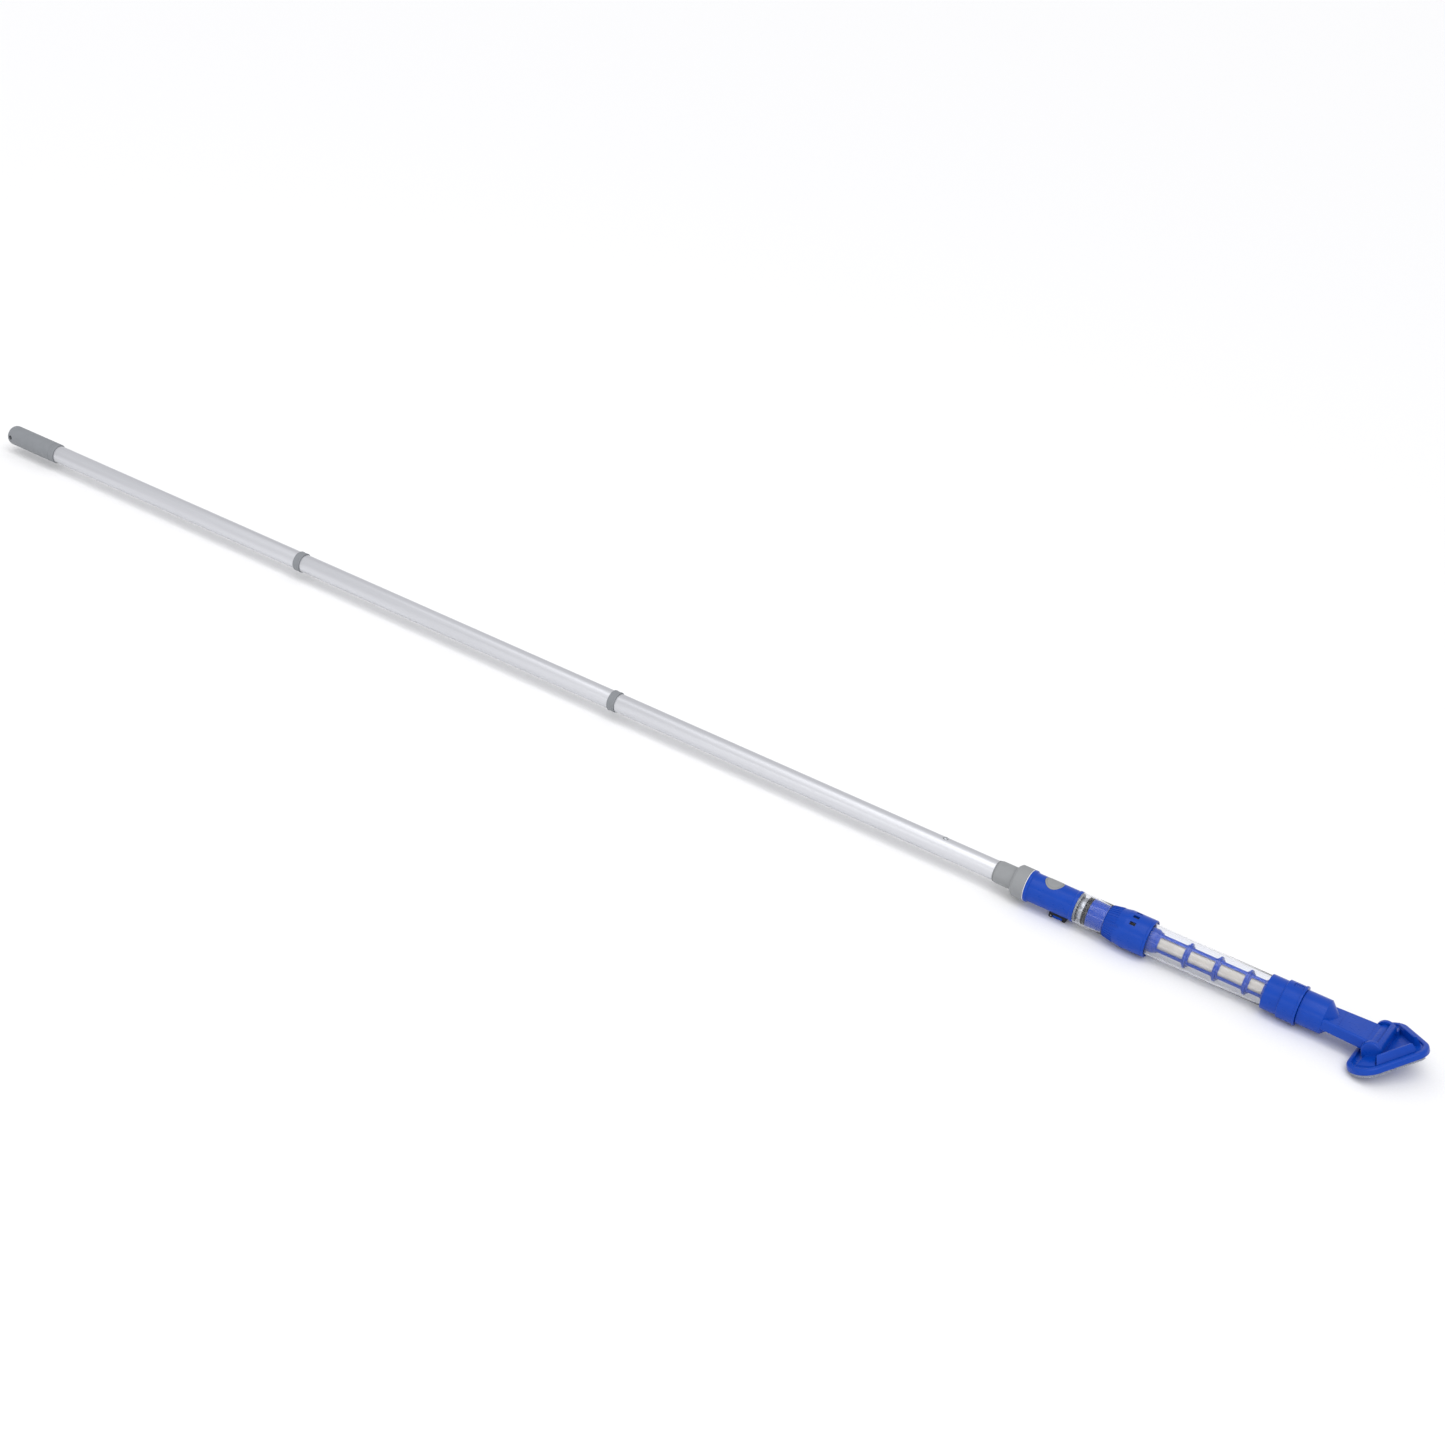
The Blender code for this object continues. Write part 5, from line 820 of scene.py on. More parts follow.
class AddPoleAdapter(bpy.types.Operator):
    """Add the pale adapter and the snap button that locks it in the pole"""
    bl_idname = "pool_vacuum.add_pole_adapter"
    bl_label = "Pole adapter"

    def execute(self, context):
        pole = settings("pole")
        rear, front, flange = extent("pole_adapter")
        barrel = TUBE_R + 2.0 * MM
        plug = TUBE_R - pole.wall - GAP
        bore = pole.spigot_bore
        joint = TUBE_END_X
        flange_x = front - 5.0 * MM
        adapter = turned("adapter_barrel", [
            (rear, bore), (rear, plug - 0.6 * MM, 0.5 * MM), (rear + 2 * MM, plug, 1.0 * MM),
            (joint, plug), (joint, TUBE_R + 0.5 * MM, 0.3 * MM),
            (joint + 1.1 * MM, TUBE_R + 1.0 * MM, 0.3 * MM), (joint + 1.4 * MM, TUBE_R + 0.3 * MM),
            (joint + 2.2 * MM, TUBE_R + 0.3 * MM), (joint + 2.5 * MM, TUBE_R + 1.3 * MM, 0.4 * MM),
            (joint + 6.0 * MM, barrel, 2.0 * MM), (flange_x, barrel), (flange_x, flange),
            (front, flange), (front, bore - 3 * MM), (flange_x, bore - 3 * MM),
            (flange_x - 4 * MM, bore)])
        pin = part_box("snap_button")
        place = (middle_of("snap_button")[0], 0.0, AXIS_Z)
        hole = rod("spigot_hole", 0.0, TUBE_R, SNAP_HOLE_R, SMALL_SIDES, "Z", place)
        settle(carve(adapter, hole), "vacuum", "grey_plastic", "pole_adapter")
        low = pin[0].z - AXIS_Z
        top = pin[1].z - AXIS_Z
        foot = (pin[1].y - pin[0].y) / 2
        stem = 4.0 * MM
        dome = [(top - 2.2 * MM * (1 - math.sin(math.pi / 2 * i / 8)),
                 stem * math.cos(math.pi / 2 * i / 8)) for i in range(8)]
        button = turned("snap_dome", [(low, 0.0), (low, foot), (low + 1.4 * MM, foot),
                                      (low + 1.4 * MM, stem)] + dome + [(top, 0.0)], SMALL_SIDES,
                        "Z", place)
        settle(button, "snap_pin", "steel", "snap_button")
        return {"FINISHED"}


class AddRearCap(bpy.types.Operator):
    """Add the pale rear cap and its white seal"""
    bl_idname = "pool_vacuum.add_rear_cap"
    bl_label = "Rear cap"

    def execute(self, context):
        rear, front, radius = extent("rear_cap")
        inner = radius - CAP_WALL
        face = rear + 5.0 * MM
        neck = TUBE_R + 2.0 * MM + GAP
        cap = turned("moulded_rear_cap", [
            (rear, neck), (rear, radius - 3.4 * MM, 0.8 * MM),
            (rear + 3.4 * MM, radius - 0.2 * MM, 2.0 * MM), (rear + 5.0 * MM, radius, 0.8 * MM),
            (front, radius, 0.4 * MM), (front, inner), (face, inner), (face, neck)])
        settle(cap, "vacuum", "grey_plastic", "rear_cap")
        rear, front, radius = extent("cap_seal")
        seal = turned("white_seal", [(rear, inner), (rear, radius, 0.4 * MM),
                                     (front, radius, 0.4 * MM), (front, inner)])
        settle(seal, "vacuum", "silicone", "cap_seal")
        return {"FINISHED"}


# ---------------------------------------------------------------- battery housing
class AddBatteryHousing(bpy.types.Operator):
    """Add the blue battery housing with its two lips"""
    bl_idname = "pool_vacuum.add_battery_housing"
    bl_label = "Battery housing"

    def execute(self, context):
        sizes = settings("housing")
        rear, front, lip = extent("battery_housing")
        thread = extent("rear_cap")[2] - CAP_WALL - 2 * GAP
        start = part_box("cap_seal")[1].x + GAP
        lip_end = start + sizes.rear_lip
        front_lip = sizes.radius + MM
        bore = sizes.radius - sizes.wall
        housing = turned("blue_housing", [
            (rear, bore), (rear, thread, 0.3 * MM), (start, thread), (start, lip, 0.6 * MM),
            (lip_end, lip, 0.8 * MM), (lip_end + 1.6 * MM, sizes.radius, 1.2 * MM),
            (front - 6.0 * MM, sizes.radius, 1.0 * MM), (front - 4.6 * MM, front_lip, 0.8 * MM),
            (front, front_lip, 0.5 * MM), (front, bore)])
        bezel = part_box("button_bezel")
        button_x, _ = middle_of("button_bezel")
        bezel_r = (bezel[1].x - bezel[0].x) / 2
        hole = rod("button_hole", 0.0, 2 * lip, bezel_r + GAP, SIDES, "Z", (button_x, 0.0, AXIS_Z))
        port_x, _ = middle_of("charging_jack")
        outlet = rod("port_hole", -2 * lip, 0.0, sizes.port_radius, SMALL_SIDES, "Z",
                     (port_x, 0.0, AXIS_Z))
        carve(housing, hole, outlet)
        settle(housing, "vacuum", "blue_plastic", "battery_housing")
        return {"FINISHED"}


class AddPowerButton(bpy.types.Operator):
    """Add the pale ring and the button, both following the housing's curve"""
    bl_idname = "pool_vacuum.add_power_button"
    bl_label = "Power button"

    def execute(self, context):
        sizes = settings("housing")
        low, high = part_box("button_bezel")
        middle = (low.x + high.x) / 2
        outer = (high.x - low.x) / 2
        skin_r = sizes.radius + GAP
        place = (middle, 0.0, AXIS_Z)
        base = low.z - AXIS_Z
        top = skin_r + 3.0 * MM
        bore = outer - sizes.bezel_wall

        def skin():
            return rod("housing_skin", -2 * outer, 2 * outer, skin_r, 2 * SIDES, "X", place)

        ring = turned("button_ring", [(base, bore), (base, outer), (top, outer), (top, bore)],
                      SIDES, "Z", place)
        soften(carve(ring, skin(), how="INTERSECT"), 0.35 * MM, 3, math.radians(40))
        settle(ring, "vacuum", "grey_plastic", "button_bezel")

        low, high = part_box("power_button")
        stem = 2.2 * MM
        under = high.z - AXIS_Z - 5.3 * MM
        cap = rod("button_cap", under, top, bore - GAP, SIDES, "Z", place)
        carve(cap, skin(), how="INTERSECT")
        post = rod("button_post", low.z - AXIS_Z, under + MM, stem, SMALL_SIDES, "Z", place)
        carve(cap, post, how="UNION")
        soften(cap, 0.4 * MM, 3, math.radians(40))
        settle(cap, "power_key", "grey_plastic", "power_button")
        return {"FINISHED"}


class AddChargingPort(bpy.types.Operator):
    """Add the port's black frame, its blue cover and the hinge between them"""
    bl_idname = "pool_vacuum.add_charging_port"
    bl_label = "Charging port"

    def execute(self, context):
        sizes = settings("housing")
        low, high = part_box("port_frame")
        half = sizes.port_half_width
        left, right = low.x, high.x
        foot = low.z - AXIS_Z
        skin = sizes.radius + GAP
        base = -skin - 2.0 * MM
        block_length = 4.6 * MM
        ear_x = left + block_length + MM
        pin_x, pin_height = middle_of("cover_pin")
        pin_z = pin_height - AXIS_Z
        knuckle = half - 2.4 * MM
        frame_piece = plate("port_surround", [
            (left, -0.9 * sizes.radius), (right, -0.9 * sizes.radius), (right, foot, 1.6 * MM),
            (right - block_length, foot, 0.5 * MM), (right - block_length, base, 0.4 * MM),
            (ear_x, base, 0.4 * MM), (ear_x, foot + 1.2 * MM, 0.3 * MM),
            (ear_x - 1.2 * MM, foot, 0.3 * MM), (left, foot, 1.6 * MM)], -half, half, "Y")
        saddle = rod("saddle", left - MM, right + MM, skin, 2 * SIDES)
        port_x = (left + right) / 2
        bore = rod("port_bore", 2 * foot, 0.0, sizes.port_radius, SMALL_SIDES, "Z",
                   (port_x, 0.0, AXIS_Z))
        room = block("knuckle_room", (left - MM, -knuckle - GAP, foot - MM),
                     (ear_x + MM, knuckle + GAP, base), 0.0)
        pin_bore = rod("pin_bore", -2 * half, 2 * half, COVER_PIN_BORE, SMALL_SIDES, "Y",
                       (pin_x, 0.0, AXIS_Z + pin_z))
        carve(frame_piece, saddle, bore, room, pin_bore)
        soften(frame_piece, 0.35 * MM, 3, math.radians(50))
        settle(frame_piece, "vacuum", "black_rubber", "port_frame")

        low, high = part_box("port_cover")
        cover_top, cover_foot = high.z - AXIS_Z, foot + 2 * GAP
        cover_left = ear_x + 2 * GAP
        arm = 2.2 * MM
        cover = block("cover_plate", (cover_left, -half, cover_foot), (high.x, half, cover_top),
                      0.9 * MM)
        dish = block("finger_dish", (cover_left + 3 * MM, -half + 2 * MM, cover_foot - 2 * MM),
                     (high.x - 2.2 * MM, half - 2 * MM, cover_foot + 0.5 * MM), 0.9 * MM)
        carve(cover, dish)
        tongue = block("cover_tongue", (pin_x, -knuckle, pin_z - arm + 0.4 * MM),
                       (cover_left + 1.6 * MM, knuckle, pin_z + arm - 0.6 * MM), 0.0)
        barrel = turned("cover_barrel", [(-knuckle, 0.0), (-knuckle, arm, 0.3 * MM),
                                         (knuckle, arm, 0.3 * MM), (knuckle, 0.0)], SMALL_SIDES,
                        "Y", (pin_x, 0.0, AXIS_Z + pin_z))
        carve(cover, tongue, barrel, how="UNION")
        bore = rod("cover_bore", -2 * half, 2 * half, COVER_PIN_BORE, SMALL_SIDES, "Y",
                   (pin_x, 0.0, AXIS_Z + pin_z))
        carve(cover, bore)
        settle(cover, "port_lid", "blue_plastic", "port_cover")
        return {"FINISHED"}


# ---------------------------------------------------------------- motor section
class AddMotorSection(bpy.types.Operator):
    """Add the clear cover, the two sealing rings and the motor behind them"""
    bl_idname = "pool_vacuum.add_motor_section"
    bl_label = "Motor section"

    def execute(self, context):
        wall = settings("pump").clear_wall
        rear, front, radius = extent("motor_cover")
        cover = turned("clear_motor_cover", [
            (rear, radius - wall, 0.3 * MM), (rear, radius, 0.6 * MM), (front, radius, 0.6 * MM),
            (front, radius - wall, 0.3 * MM)], CLEAR_SIDES)
        settle(cover, "vacuum", "clear_plastic", "motor_cover")

        for name, node in (("rear_sealing_ring", "rear_o_ring"),
                           ("front_sealing_ring", "front_o_ring")):
            start, end, outer = extent(node)
            bead = (end - start) / 2
            middle = (start + end) / 2
            ring = turned(name, [(middle + bead * math.cos(math.radians(15 * i)),
                                  outer - bead * (1 - math.sin(math.radians(15 * i))))
                                 for i in range(24)])
            settle(ring, "vacuum", "black_rubber", node)

        start, end, outer = extent("motor")
        blind = start + 0.4 * (end - start)
        flux = outer - 0.9 * MM
        can = turned("motor_can", [
            (start, 0.0), (start, 4.2 * MM), (start + 0.8 * MM, 4.2 * MM),
            (start + 0.8 * MM, outer - 3.4 * MM, MM), (start, outer - 3.0 * MM, 0.4 * MM),
            (start, flux - 0.6 * MM, 0.8 * MM), (start + 3.6 * MM, flux),
            (start + 3.8 * MM, outer, 0.4 * MM), (end - 6.0 * MM, outer, 0.4 * MM),
            (end - 5.8 * MM, flux), (end, flux, 1.4 * MM), (end, SHAFT_BORE), (blind, SHAFT_BORE),
            (blind, 0.0)])
        screw_y = 10.0 * MM
        holes = []
        for side in (-1, 1):
            holes.append(rod("screw_hole", start - MM, start + 6 * MM, 1.7 * MM, SMALL_SIDES, "X",
                                (0.0, side * screw_y, AXIS_Z)))
        carve(can, *holes)
        vents = []
        for i in range(4):
            vent = block("vent", (start + 6.5 * MM, -2.6 * MM, outer - 0.7 * MM),
                         (start + 10.5 * MM, 2.6 * MM, outer + MM), 0.0)
            vents.append(rotated(vent, math.radians(45 + 90 * i)))
        carve(can, joined("vents", vents))
        settle(can, "vacuum", "steel", "motor")

        sleeve_x, end, outer = extent("motor_mount")
        case_r = extent("motor")[2] + GAP
        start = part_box("motor")[1].x + GAP
        collar_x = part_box("locking_collar")[0].x
        neck = 19.3 * MM
        seal_r = 4.9 * MM
        nose = seal_r + 3.0 * MM
        step_x = collar_x + 6.5 * MM
        mount = turned("motor_mounting", [
            (start, seal_r), (start, case_r), (sleeve_x, case_r), (sleeve_x, outer, 0.5 * MM),
            (collar_x - GAP, outer, 0.3 * MM), (collar_x - GAP, neck), (step_x, neck, 1.5 * MM),
            (step_x + 2 * MM, nose + 2 * MM, MM), (end, nose, 0.6 * MM), (end, seal_r)])
        settle(mount, "vacuum", "blue_plastic", "motor_mount")
        return {"FINISHED"}


class AddLockingCollar(bpy.types.Operator):
    """Add the blue locking collar with its ribs, line, slots and catch"""
    bl_idname = "pool_vacuum.add_locking_collar"
    bl_label = "Locking collar"

    def execute(self, context):
        pump = settings("pump")
        rear, front, radius = extent("locking_collar")
        small = radius - 5.35 * MM
        neck = 19.6 * MM
        bore = radius - pump.skin
        cone_x = rear + pump.cone
        plate_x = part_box("pump_plate")[0].x
        step_x = rear + 8.5 * MM
        ledge = bore - 1.2 * MM
        collar = turned("blue_locking_collar", [
            (rear, neck), (rear, small - 0.2 * MM, 0.5 * MM),
            (rear + 1.2 * MM, small + 0.2 * MM, 0.3 * MM), (cone_x, radius, 6.0 * MM),
            (front - 4.4 * MM, radius, 0.3 * MM), (front - 4.0 * MM, radius - 0.4 * MM),
            (front - 3.4 * MM, radius - 0.4 * MM), (front - 3.0 * MM, radius, 0.3 * MM),
            (front, radius, 1.0 * MM), (front, bore, 0.3 * MM), (plate_x - GAP, bore),
            (plate_x - GAP, ledge), (cone_x, ledge), (step_x, neck)], 2 * SIDES)
        slots = []
        slot_x = cone_x + 11.0 * MM
        for i in range(pump.slot_count):
            slot = block("slot",
                         (slot_x - pump.slot_length / 2, -pump.slot_width / 2, 0.8 * radius),
                         (slot_x + pump.slot_length / 2, pump.slot_width / 2, radius + 2 * MM),
                         0.5 * MM)
            slots.append(rotated(slot, pump.slot_step * (i - (pump.slot_count - 1) / 2)))
        carve(collar, joined("slots", slots))

        slope = math.atan((radius - small) / pump.cone)
        ribs = []
        line_turn = math.radians(-65.0)
        for i in range(pump.rib_count):
            turn = line_turn + 2 * math.pi * i / pump.rib_count
            main = i % (pump.rib_count // 2) == 0
            length = (22.0 if main else 17.0) * MM
            height = (1.0 if main else 0.5) * MM
            half = (0.9 if main else 0.6) * MM
            rib = block("rib", (0.8 * MM, -half, -MM), (length, half, height), 0.32 * MM)
            rotated(rib, -slope, "Y")
            rib.data.transform(Matrix.Translation((rear, 0.0, small + 0.25 * MM)))
            ribs.append(rotated(rib, -turn))
        catch = block("catch", (front - 8.0 * MM, -2.0 * MM, radius - MM),
                      (front - 1.6 * MM, 2.0 * MM, radius + 0.2 * MM), 0.6 * MM)
        ribs.append(rotated(catch, -line_turn))
        collar.name = "collar_body"
        collar = joined("blue_locking_collar", [collar] + ribs)
        settle(collar, "vacuum", "blue_plastic", "locking_collar")

        rear, front, radius = extent("chamber_lock_ring")
        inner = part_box("debris_chamber")[1].y + GAP
        ring = turned("blue_lock_ring", [
            (rear, inner), (rear, radius, 0.3 * MM), (front - 1.4 * MM, radius),
            (front - 1.1 * MM, radius - 0.5 * MM), (front, radius - 0.5 * MM, 0.3 * MM),
            (front, inner, 0.3 * MM)])
        settle(ring, "chamber", "blue_plastic", "chamber_lock_ring")
        return {"FINISHED"}


BLADES = 7
BLADE_SWEEP = 0.75                 # radians that a blade trails from its root to its tip


class AddPump(bpy.types.Operator):
    """Add the impeller with its swept blades and the plate with the pump's inlet"""
    bl_idname = "pool_vacuum.add_pump"
    bl_label = "Pump"

    def execute(self, context):
        rear, front, radius = extent("impeller")
        hub = 5.0 * MM
        disc = turned("swept_impeller", [
            (rear, SHAFT_BORE), (rear, radius, 0.4 * MM), (rear + 1.6 * MM, radius, 0.4 * MM),
            (rear + 1.6 * MM, hub + MM, 2.5 * MM), (front, hub, 1.0 * MM), (front, SHAFT_BORE)])
        blades = []
        for i in range(BLADES):
            outline = []
            for side in (-1, 1):
                stretch = [j / 10 for j in range(11)]
                for share in stretch if side < 0 else stretch[::-1]:
                    reach = hub - 0.6 * MM + (radius - 0.6 * MM - hub) * share
                    angle = 2 * math.pi * i / BLADES + BLADE_SWEEP * share ** 1.4
                    offset = side * 0.7 * MM / reach
                    outline.append((reach * math.sin(angle + offset),
                                    reach * math.cos(angle + offset)))
            blades.append(plate("blade", outline, rear + 0.8 * MM, front - 1.5 * MM, "X"))
        carve(disc, *blades, how="UNION")
        settle(disc, "rotor", "dark_grey_plastic", "impeller")

        rear, front, radius = extent("pump_plate")
        inlet = 9.0 * MM
        spigot = inlet + 2.4 * MM
        face = rear + 3.5 * MM
        cover = turned("pump_inlet_plate", [
            (rear, inlet, MM), (rear, radius, 0.4 * MM), (face, radius, 0.4 * MM),
            (face, radius - 2.2 * MM, 0.2 * MM), (face - 0.6 * MM, radius - 2.6 * MM, 0.2 * MM),
            (face - 0.6 * MM, spigot + 2.6 * MM, 0.2 * MM), (face, spigot + 2.2 * MM, 0.2 * MM),
            (face, spigot, 0.8 * MM), (front, spigot, 0.6 * MM), (front, inlet, 0.6 * MM)])
        settle(cover, "vacuum", "dark_grey_plastic", "pump_plate")
        return {"FINISHED"}


# ---------------------------------------------------------------- debris chamber
class AddDebrisChamber(bpy.types.Operator):
    """Add the clear debris chamber"""
    bl_idname = "pool_vacuum.add_debris_chamber"
    bl_label = "Debris chamber"

    def execute(self, context):
        wall = settings("pump").clear_wall
        rear, front, radius = extent("debris_chamber")
        tube = turned("clear_debris_chamber", [
            (rear, radius - wall, 0.3 * MM), (rear, radius, 0.5 * MM), (front, radius, 0.5 * MM),
            (front, radius - wall, 0.3 * MM)], CLEAR_SIDES)
        settle(tube, "chamber", "clear_plastic", "debris_chamber")
        return {"FINISHED"}


class AddFilter(bpy.types.Operator):
    """Add the blue filter cage with its windows and the woven sleeve inside it"""
    bl_idname = "pool_vacuum.add_filter"
    bl_label = "Filter"

    def execute(self, context):
        sizes = settings("chamber")
        rear, front, ring_r = extent("filter_cage")
        radius = sizes.cage_radius
        bore = radius - sizes.cage_wall
        socket = 11.7 * MM
        neck_end = rear + sizes.neck
        half = sizes.ring_width / 2
        first = neck_end + sizes.ring_pitch
        rings = [first + sizes.ring_pitch * i for i in range(3)]
        outline = [(rear, socket, 0.3 * MM), (rear, sizes.neck_radius, 0.8 * MM),
                   (neck_end - 4 * MM, sizes.neck_radius, 1.2 * MM), (neck_end, radius, 1.2 * MM)]
        for x in rings:
            outline += [(x - half, radius, 0.5 * MM), (x - half, ring_r, 0.6 * MM),
                        (x + half, ring_r, 0.6 * MM), (x + half, radius, 0.5 * MM)]
        outline += [(front, radius, 1.5 * MM), (front, 0.0), (front - sizes.cage_wall, 0.0),
                    (front - sizes.cage_wall, bore, 0.5 * MM), (neck_end, bore),
                    (neck_end - 4 * MM, socket)]
        cage = turned("filter_frame", outline)
        low = neck_end
        windows = []
        for end in [ring - half - 2.5 * MM for ring in rings] + [front - 5.5 * MM]:
            start = low + 2.5 * MM
            low = end + 2.5 * MM + sizes.ring_width
            for turn in (0, 90):
                window = plate("window", [
                    (start, -sizes.window / 2, 1.6 * MM), (end, -sizes.window / 2, 1.6 * MM),
                    (end, sizes.window / 2, 1.6 * MM), (start, sizes.window / 2, 1.6 * MM)],
                    -radius - MM, radius + MM, "Z")
                windows.append(rotated(window, sizes.window_turn + math.radians(45 + turn)))
        for window in windows:
            carve(cage, window)
        soften(cage, 0.3 * MM, 2, math.radians(50))
        settle(cage, "chamber", "blue_plastic", "filter_cage")

        start, end, outer = extent("filter_mesh")
        sag = 0.35 * MM
        steps = 72
        outside = []
        for i in range(steps + 1):
            share = i / steps
            ripple = abs(math.sin(math.pi * 3.7 * share)) * sag
            outside.append((start + (end - start) * share, outer - 0.05 * MM - ripple))
        inside = [(x, r - 0.5 * MM) for x, r in outside[::-1]]
        sleeve = turned("filter_sleeve", outside + inside, SIDES)
        settle(sleeve, "chamber", "filter_cloth", "filter_mesh")
        return {"FINISHED"}


# ---------------------------------------------------------------- connector, flap and latch
class AddConnector(bpy.types.Operator):
    """Add the blue connector with its ring, lip and flap ears, and the latch in its slot"""
    bl_idname = "pool_vacuum.add_connector"
    bl_label = "Connector"

    def execute(self, context):
        sizes = settings("chamber")
        rear, front, lip = extent("front_connector")
        chamber_r = extent("debris_chamber")[2]
        chamber_bore = chamber_r - 2.0 * MM
        inlet = 10.0 * MM
        inlet_outer = inlet + 3.0 * MM
        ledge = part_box("debris_chamber")[1].x + 2.8 * MM
        bulkhead = ledge + 10.3 * MM
        inlet_x = bulkhead - 3.0 * MM
        socket_x = bulkhead + 4.0 * MM
        socket = 21.5 * MM
        ring_x = rear + sizes.sleeve
        lip_x = front - 3.0 * MM
        connector = turned("blue_connector", [
            (rear, chamber_r + GAP, 0.3 * MM), (rear, sizes.sleeve_radius, 0.8 * MM),
            (ring_x, sizes.sleeve_radius, 0.5 * MM),
            (ring_x + 0.6 * MM, sizes.ring_radius, 0.9 * MM),
            (lip_x - 0.4 * MM, sizes.ring_radius, 0.3 * MM), (lip_x, lip, 0.5 * MM),
            (front, lip, 0.8 * MM), (front, socket, 0.4 * MM), (socket_x, socket),
            (socket_x, inlet), (inlet_x, inlet, 0.6 * MM), (inlet_x, inlet_outer, 0.6 * MM),
            (bulkhead, inlet_outer, 0.8 * MM), (bulkhead, chamber_bore, 0.8 * MM),
            (ledge, chamber_bore, 0.3 * MM), (ledge, chamber_r + GAP)], 2 * SIDES)
        low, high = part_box("latch_button")
        slot = block("latch_slot", (low.x - GAP, low.y - GAP, 0.5 * socket),
                     (high.x + GAP, high.y + GAP, lip + MM), 0.6 * MM)
        carve(connector, slot)
        pin_x, pin_height = middle_of("flap_pin")
        pin_z = pin_height - AXIS_Z
        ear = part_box("flap_pin")[1].y
        knuckle = ear - GAP - 2.0 * MM
        ear_top = pin_z + 2.2 * MM
        ears = block("flap_ears", (pin_x - 2.0 * MM, -ear, inlet_outer - 0.8 * MM),
                     (inlet_x + 6 * MM, ear, ear_top), 0.4 * MM)
        room = block("ear_room", (pin_x - 4 * MM, -knuckle - GAP, 0.0),
                     (inlet_x + 2.2 * MM, knuckle + GAP, ear_top + MM), 0.0)
        bore = rod("ear_bore", -2 * ear, 2 * ear, FLAP_PIN_BORE, SMALL_SIDES, "Y",
                   (pin_x, 0.0, AXIS_Z + pin_z))
        carve(ears, room, bore)
        carve(connector, ears, how="UNION")
        settle(connector, "chamber", "blue_plastic", "front_connector")

        key = block("latch_key", tuple(low - Vector((0, 0, AXIS_Z))),
                    tuple(high - Vector((0, 0, AXIS_Z))), 0.7 * MM)
        grooves = []
        for i in range(4):
            x = low.x + (high.x - low.x) * (0.25 + 0.17 * i)
            grooves.append(block("groove", (x - 0.4 * MM, low.y + MM, high.z - AXIS_Z - 0.5 * MM),
                                 (x + 0.4 * MM, high.y - MM, high.z - AXIS_Z + MM), 0.0))
        carve(key, joined("grooves", grooves))
        settle(key, "nozzle_latch", "blue_plastic", "latch_button")
        return {"FINISHED"}


class AddInletFlap(bpy.types.Operator):
    """Add the rubber flap that keeps debris in the chamber"""
    bl_idname = "pool_vacuum.add_inlet_flap"
    bl_label = "Inlet flap"

    def execute(self, context):
        low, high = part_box("inlet_flap")
        pin_low, pin_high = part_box("flap_pin")
        pin = Vector(((pin_low.x + pin_high.x) / 2, 0.0, (pin_low.z + pin_high.z) / 2))
        radius = (high.y - low.y) / 2
        half = 0.6 * MM
        flap = turned("rubber_flap", [
            (pin.x - half, 0.0), (pin.x - half, radius - 2.2 * MM, 0.3 * MM),
            (pin.x - half, radius, 0.4 * MM), (pin.x + half, radius, 0.4 * MM),
            (pin.x + half, 0.0)])
        knuckle = 4.5 * MM
        tab = block("flap_tab", (pin.x - half, -knuckle, 0.0),
                    (pin.x + half, knuckle, pin.z - AXIS_Z), 0.2 * MM)
        barrel = turned("flap_barrel", [(-knuckle, 0.0), (-knuckle, 2.0 * MM, 0.3 * MM),
                                        (knuckle, 2.0 * MM, 0.3 * MM), (knuckle, 0.0)],
                        SMALL_SIDES, "Y", tuple(pin))
        bore = rod("flap_bore", -2 * knuckle, 2 * knuckle, FLAP_PIN_BORE, SMALL_SIDES, "Y",
                   tuple(pin))
        carve(flap, tab, barrel, how="UNION")
        carve(flap, bore)
        settle(flap, "inlet_valve", "black_rubber", "inlet_flap")
        return {"FINISHED"}


# ---------------------------------------------------------------- nozzle and flat neck
def neck_section(x, width, height, corner, steps=8):
    """A rounded rectangle across the neck at x."""
    ring = []
    for quarter, (sy, sz) in enumerate(((1, 1), (-1, 1), (-1, -1), (1, -1))):
        for i in range(steps + 1):
            angle = math.pi / 2 * (quarter + i / steps)
            ring.append((x, sy * (width / 2 - corner) + corner * math.cos(angle),
                         sz * (height / 2 - corner) + corner * math.sin(angle)))
    return ring


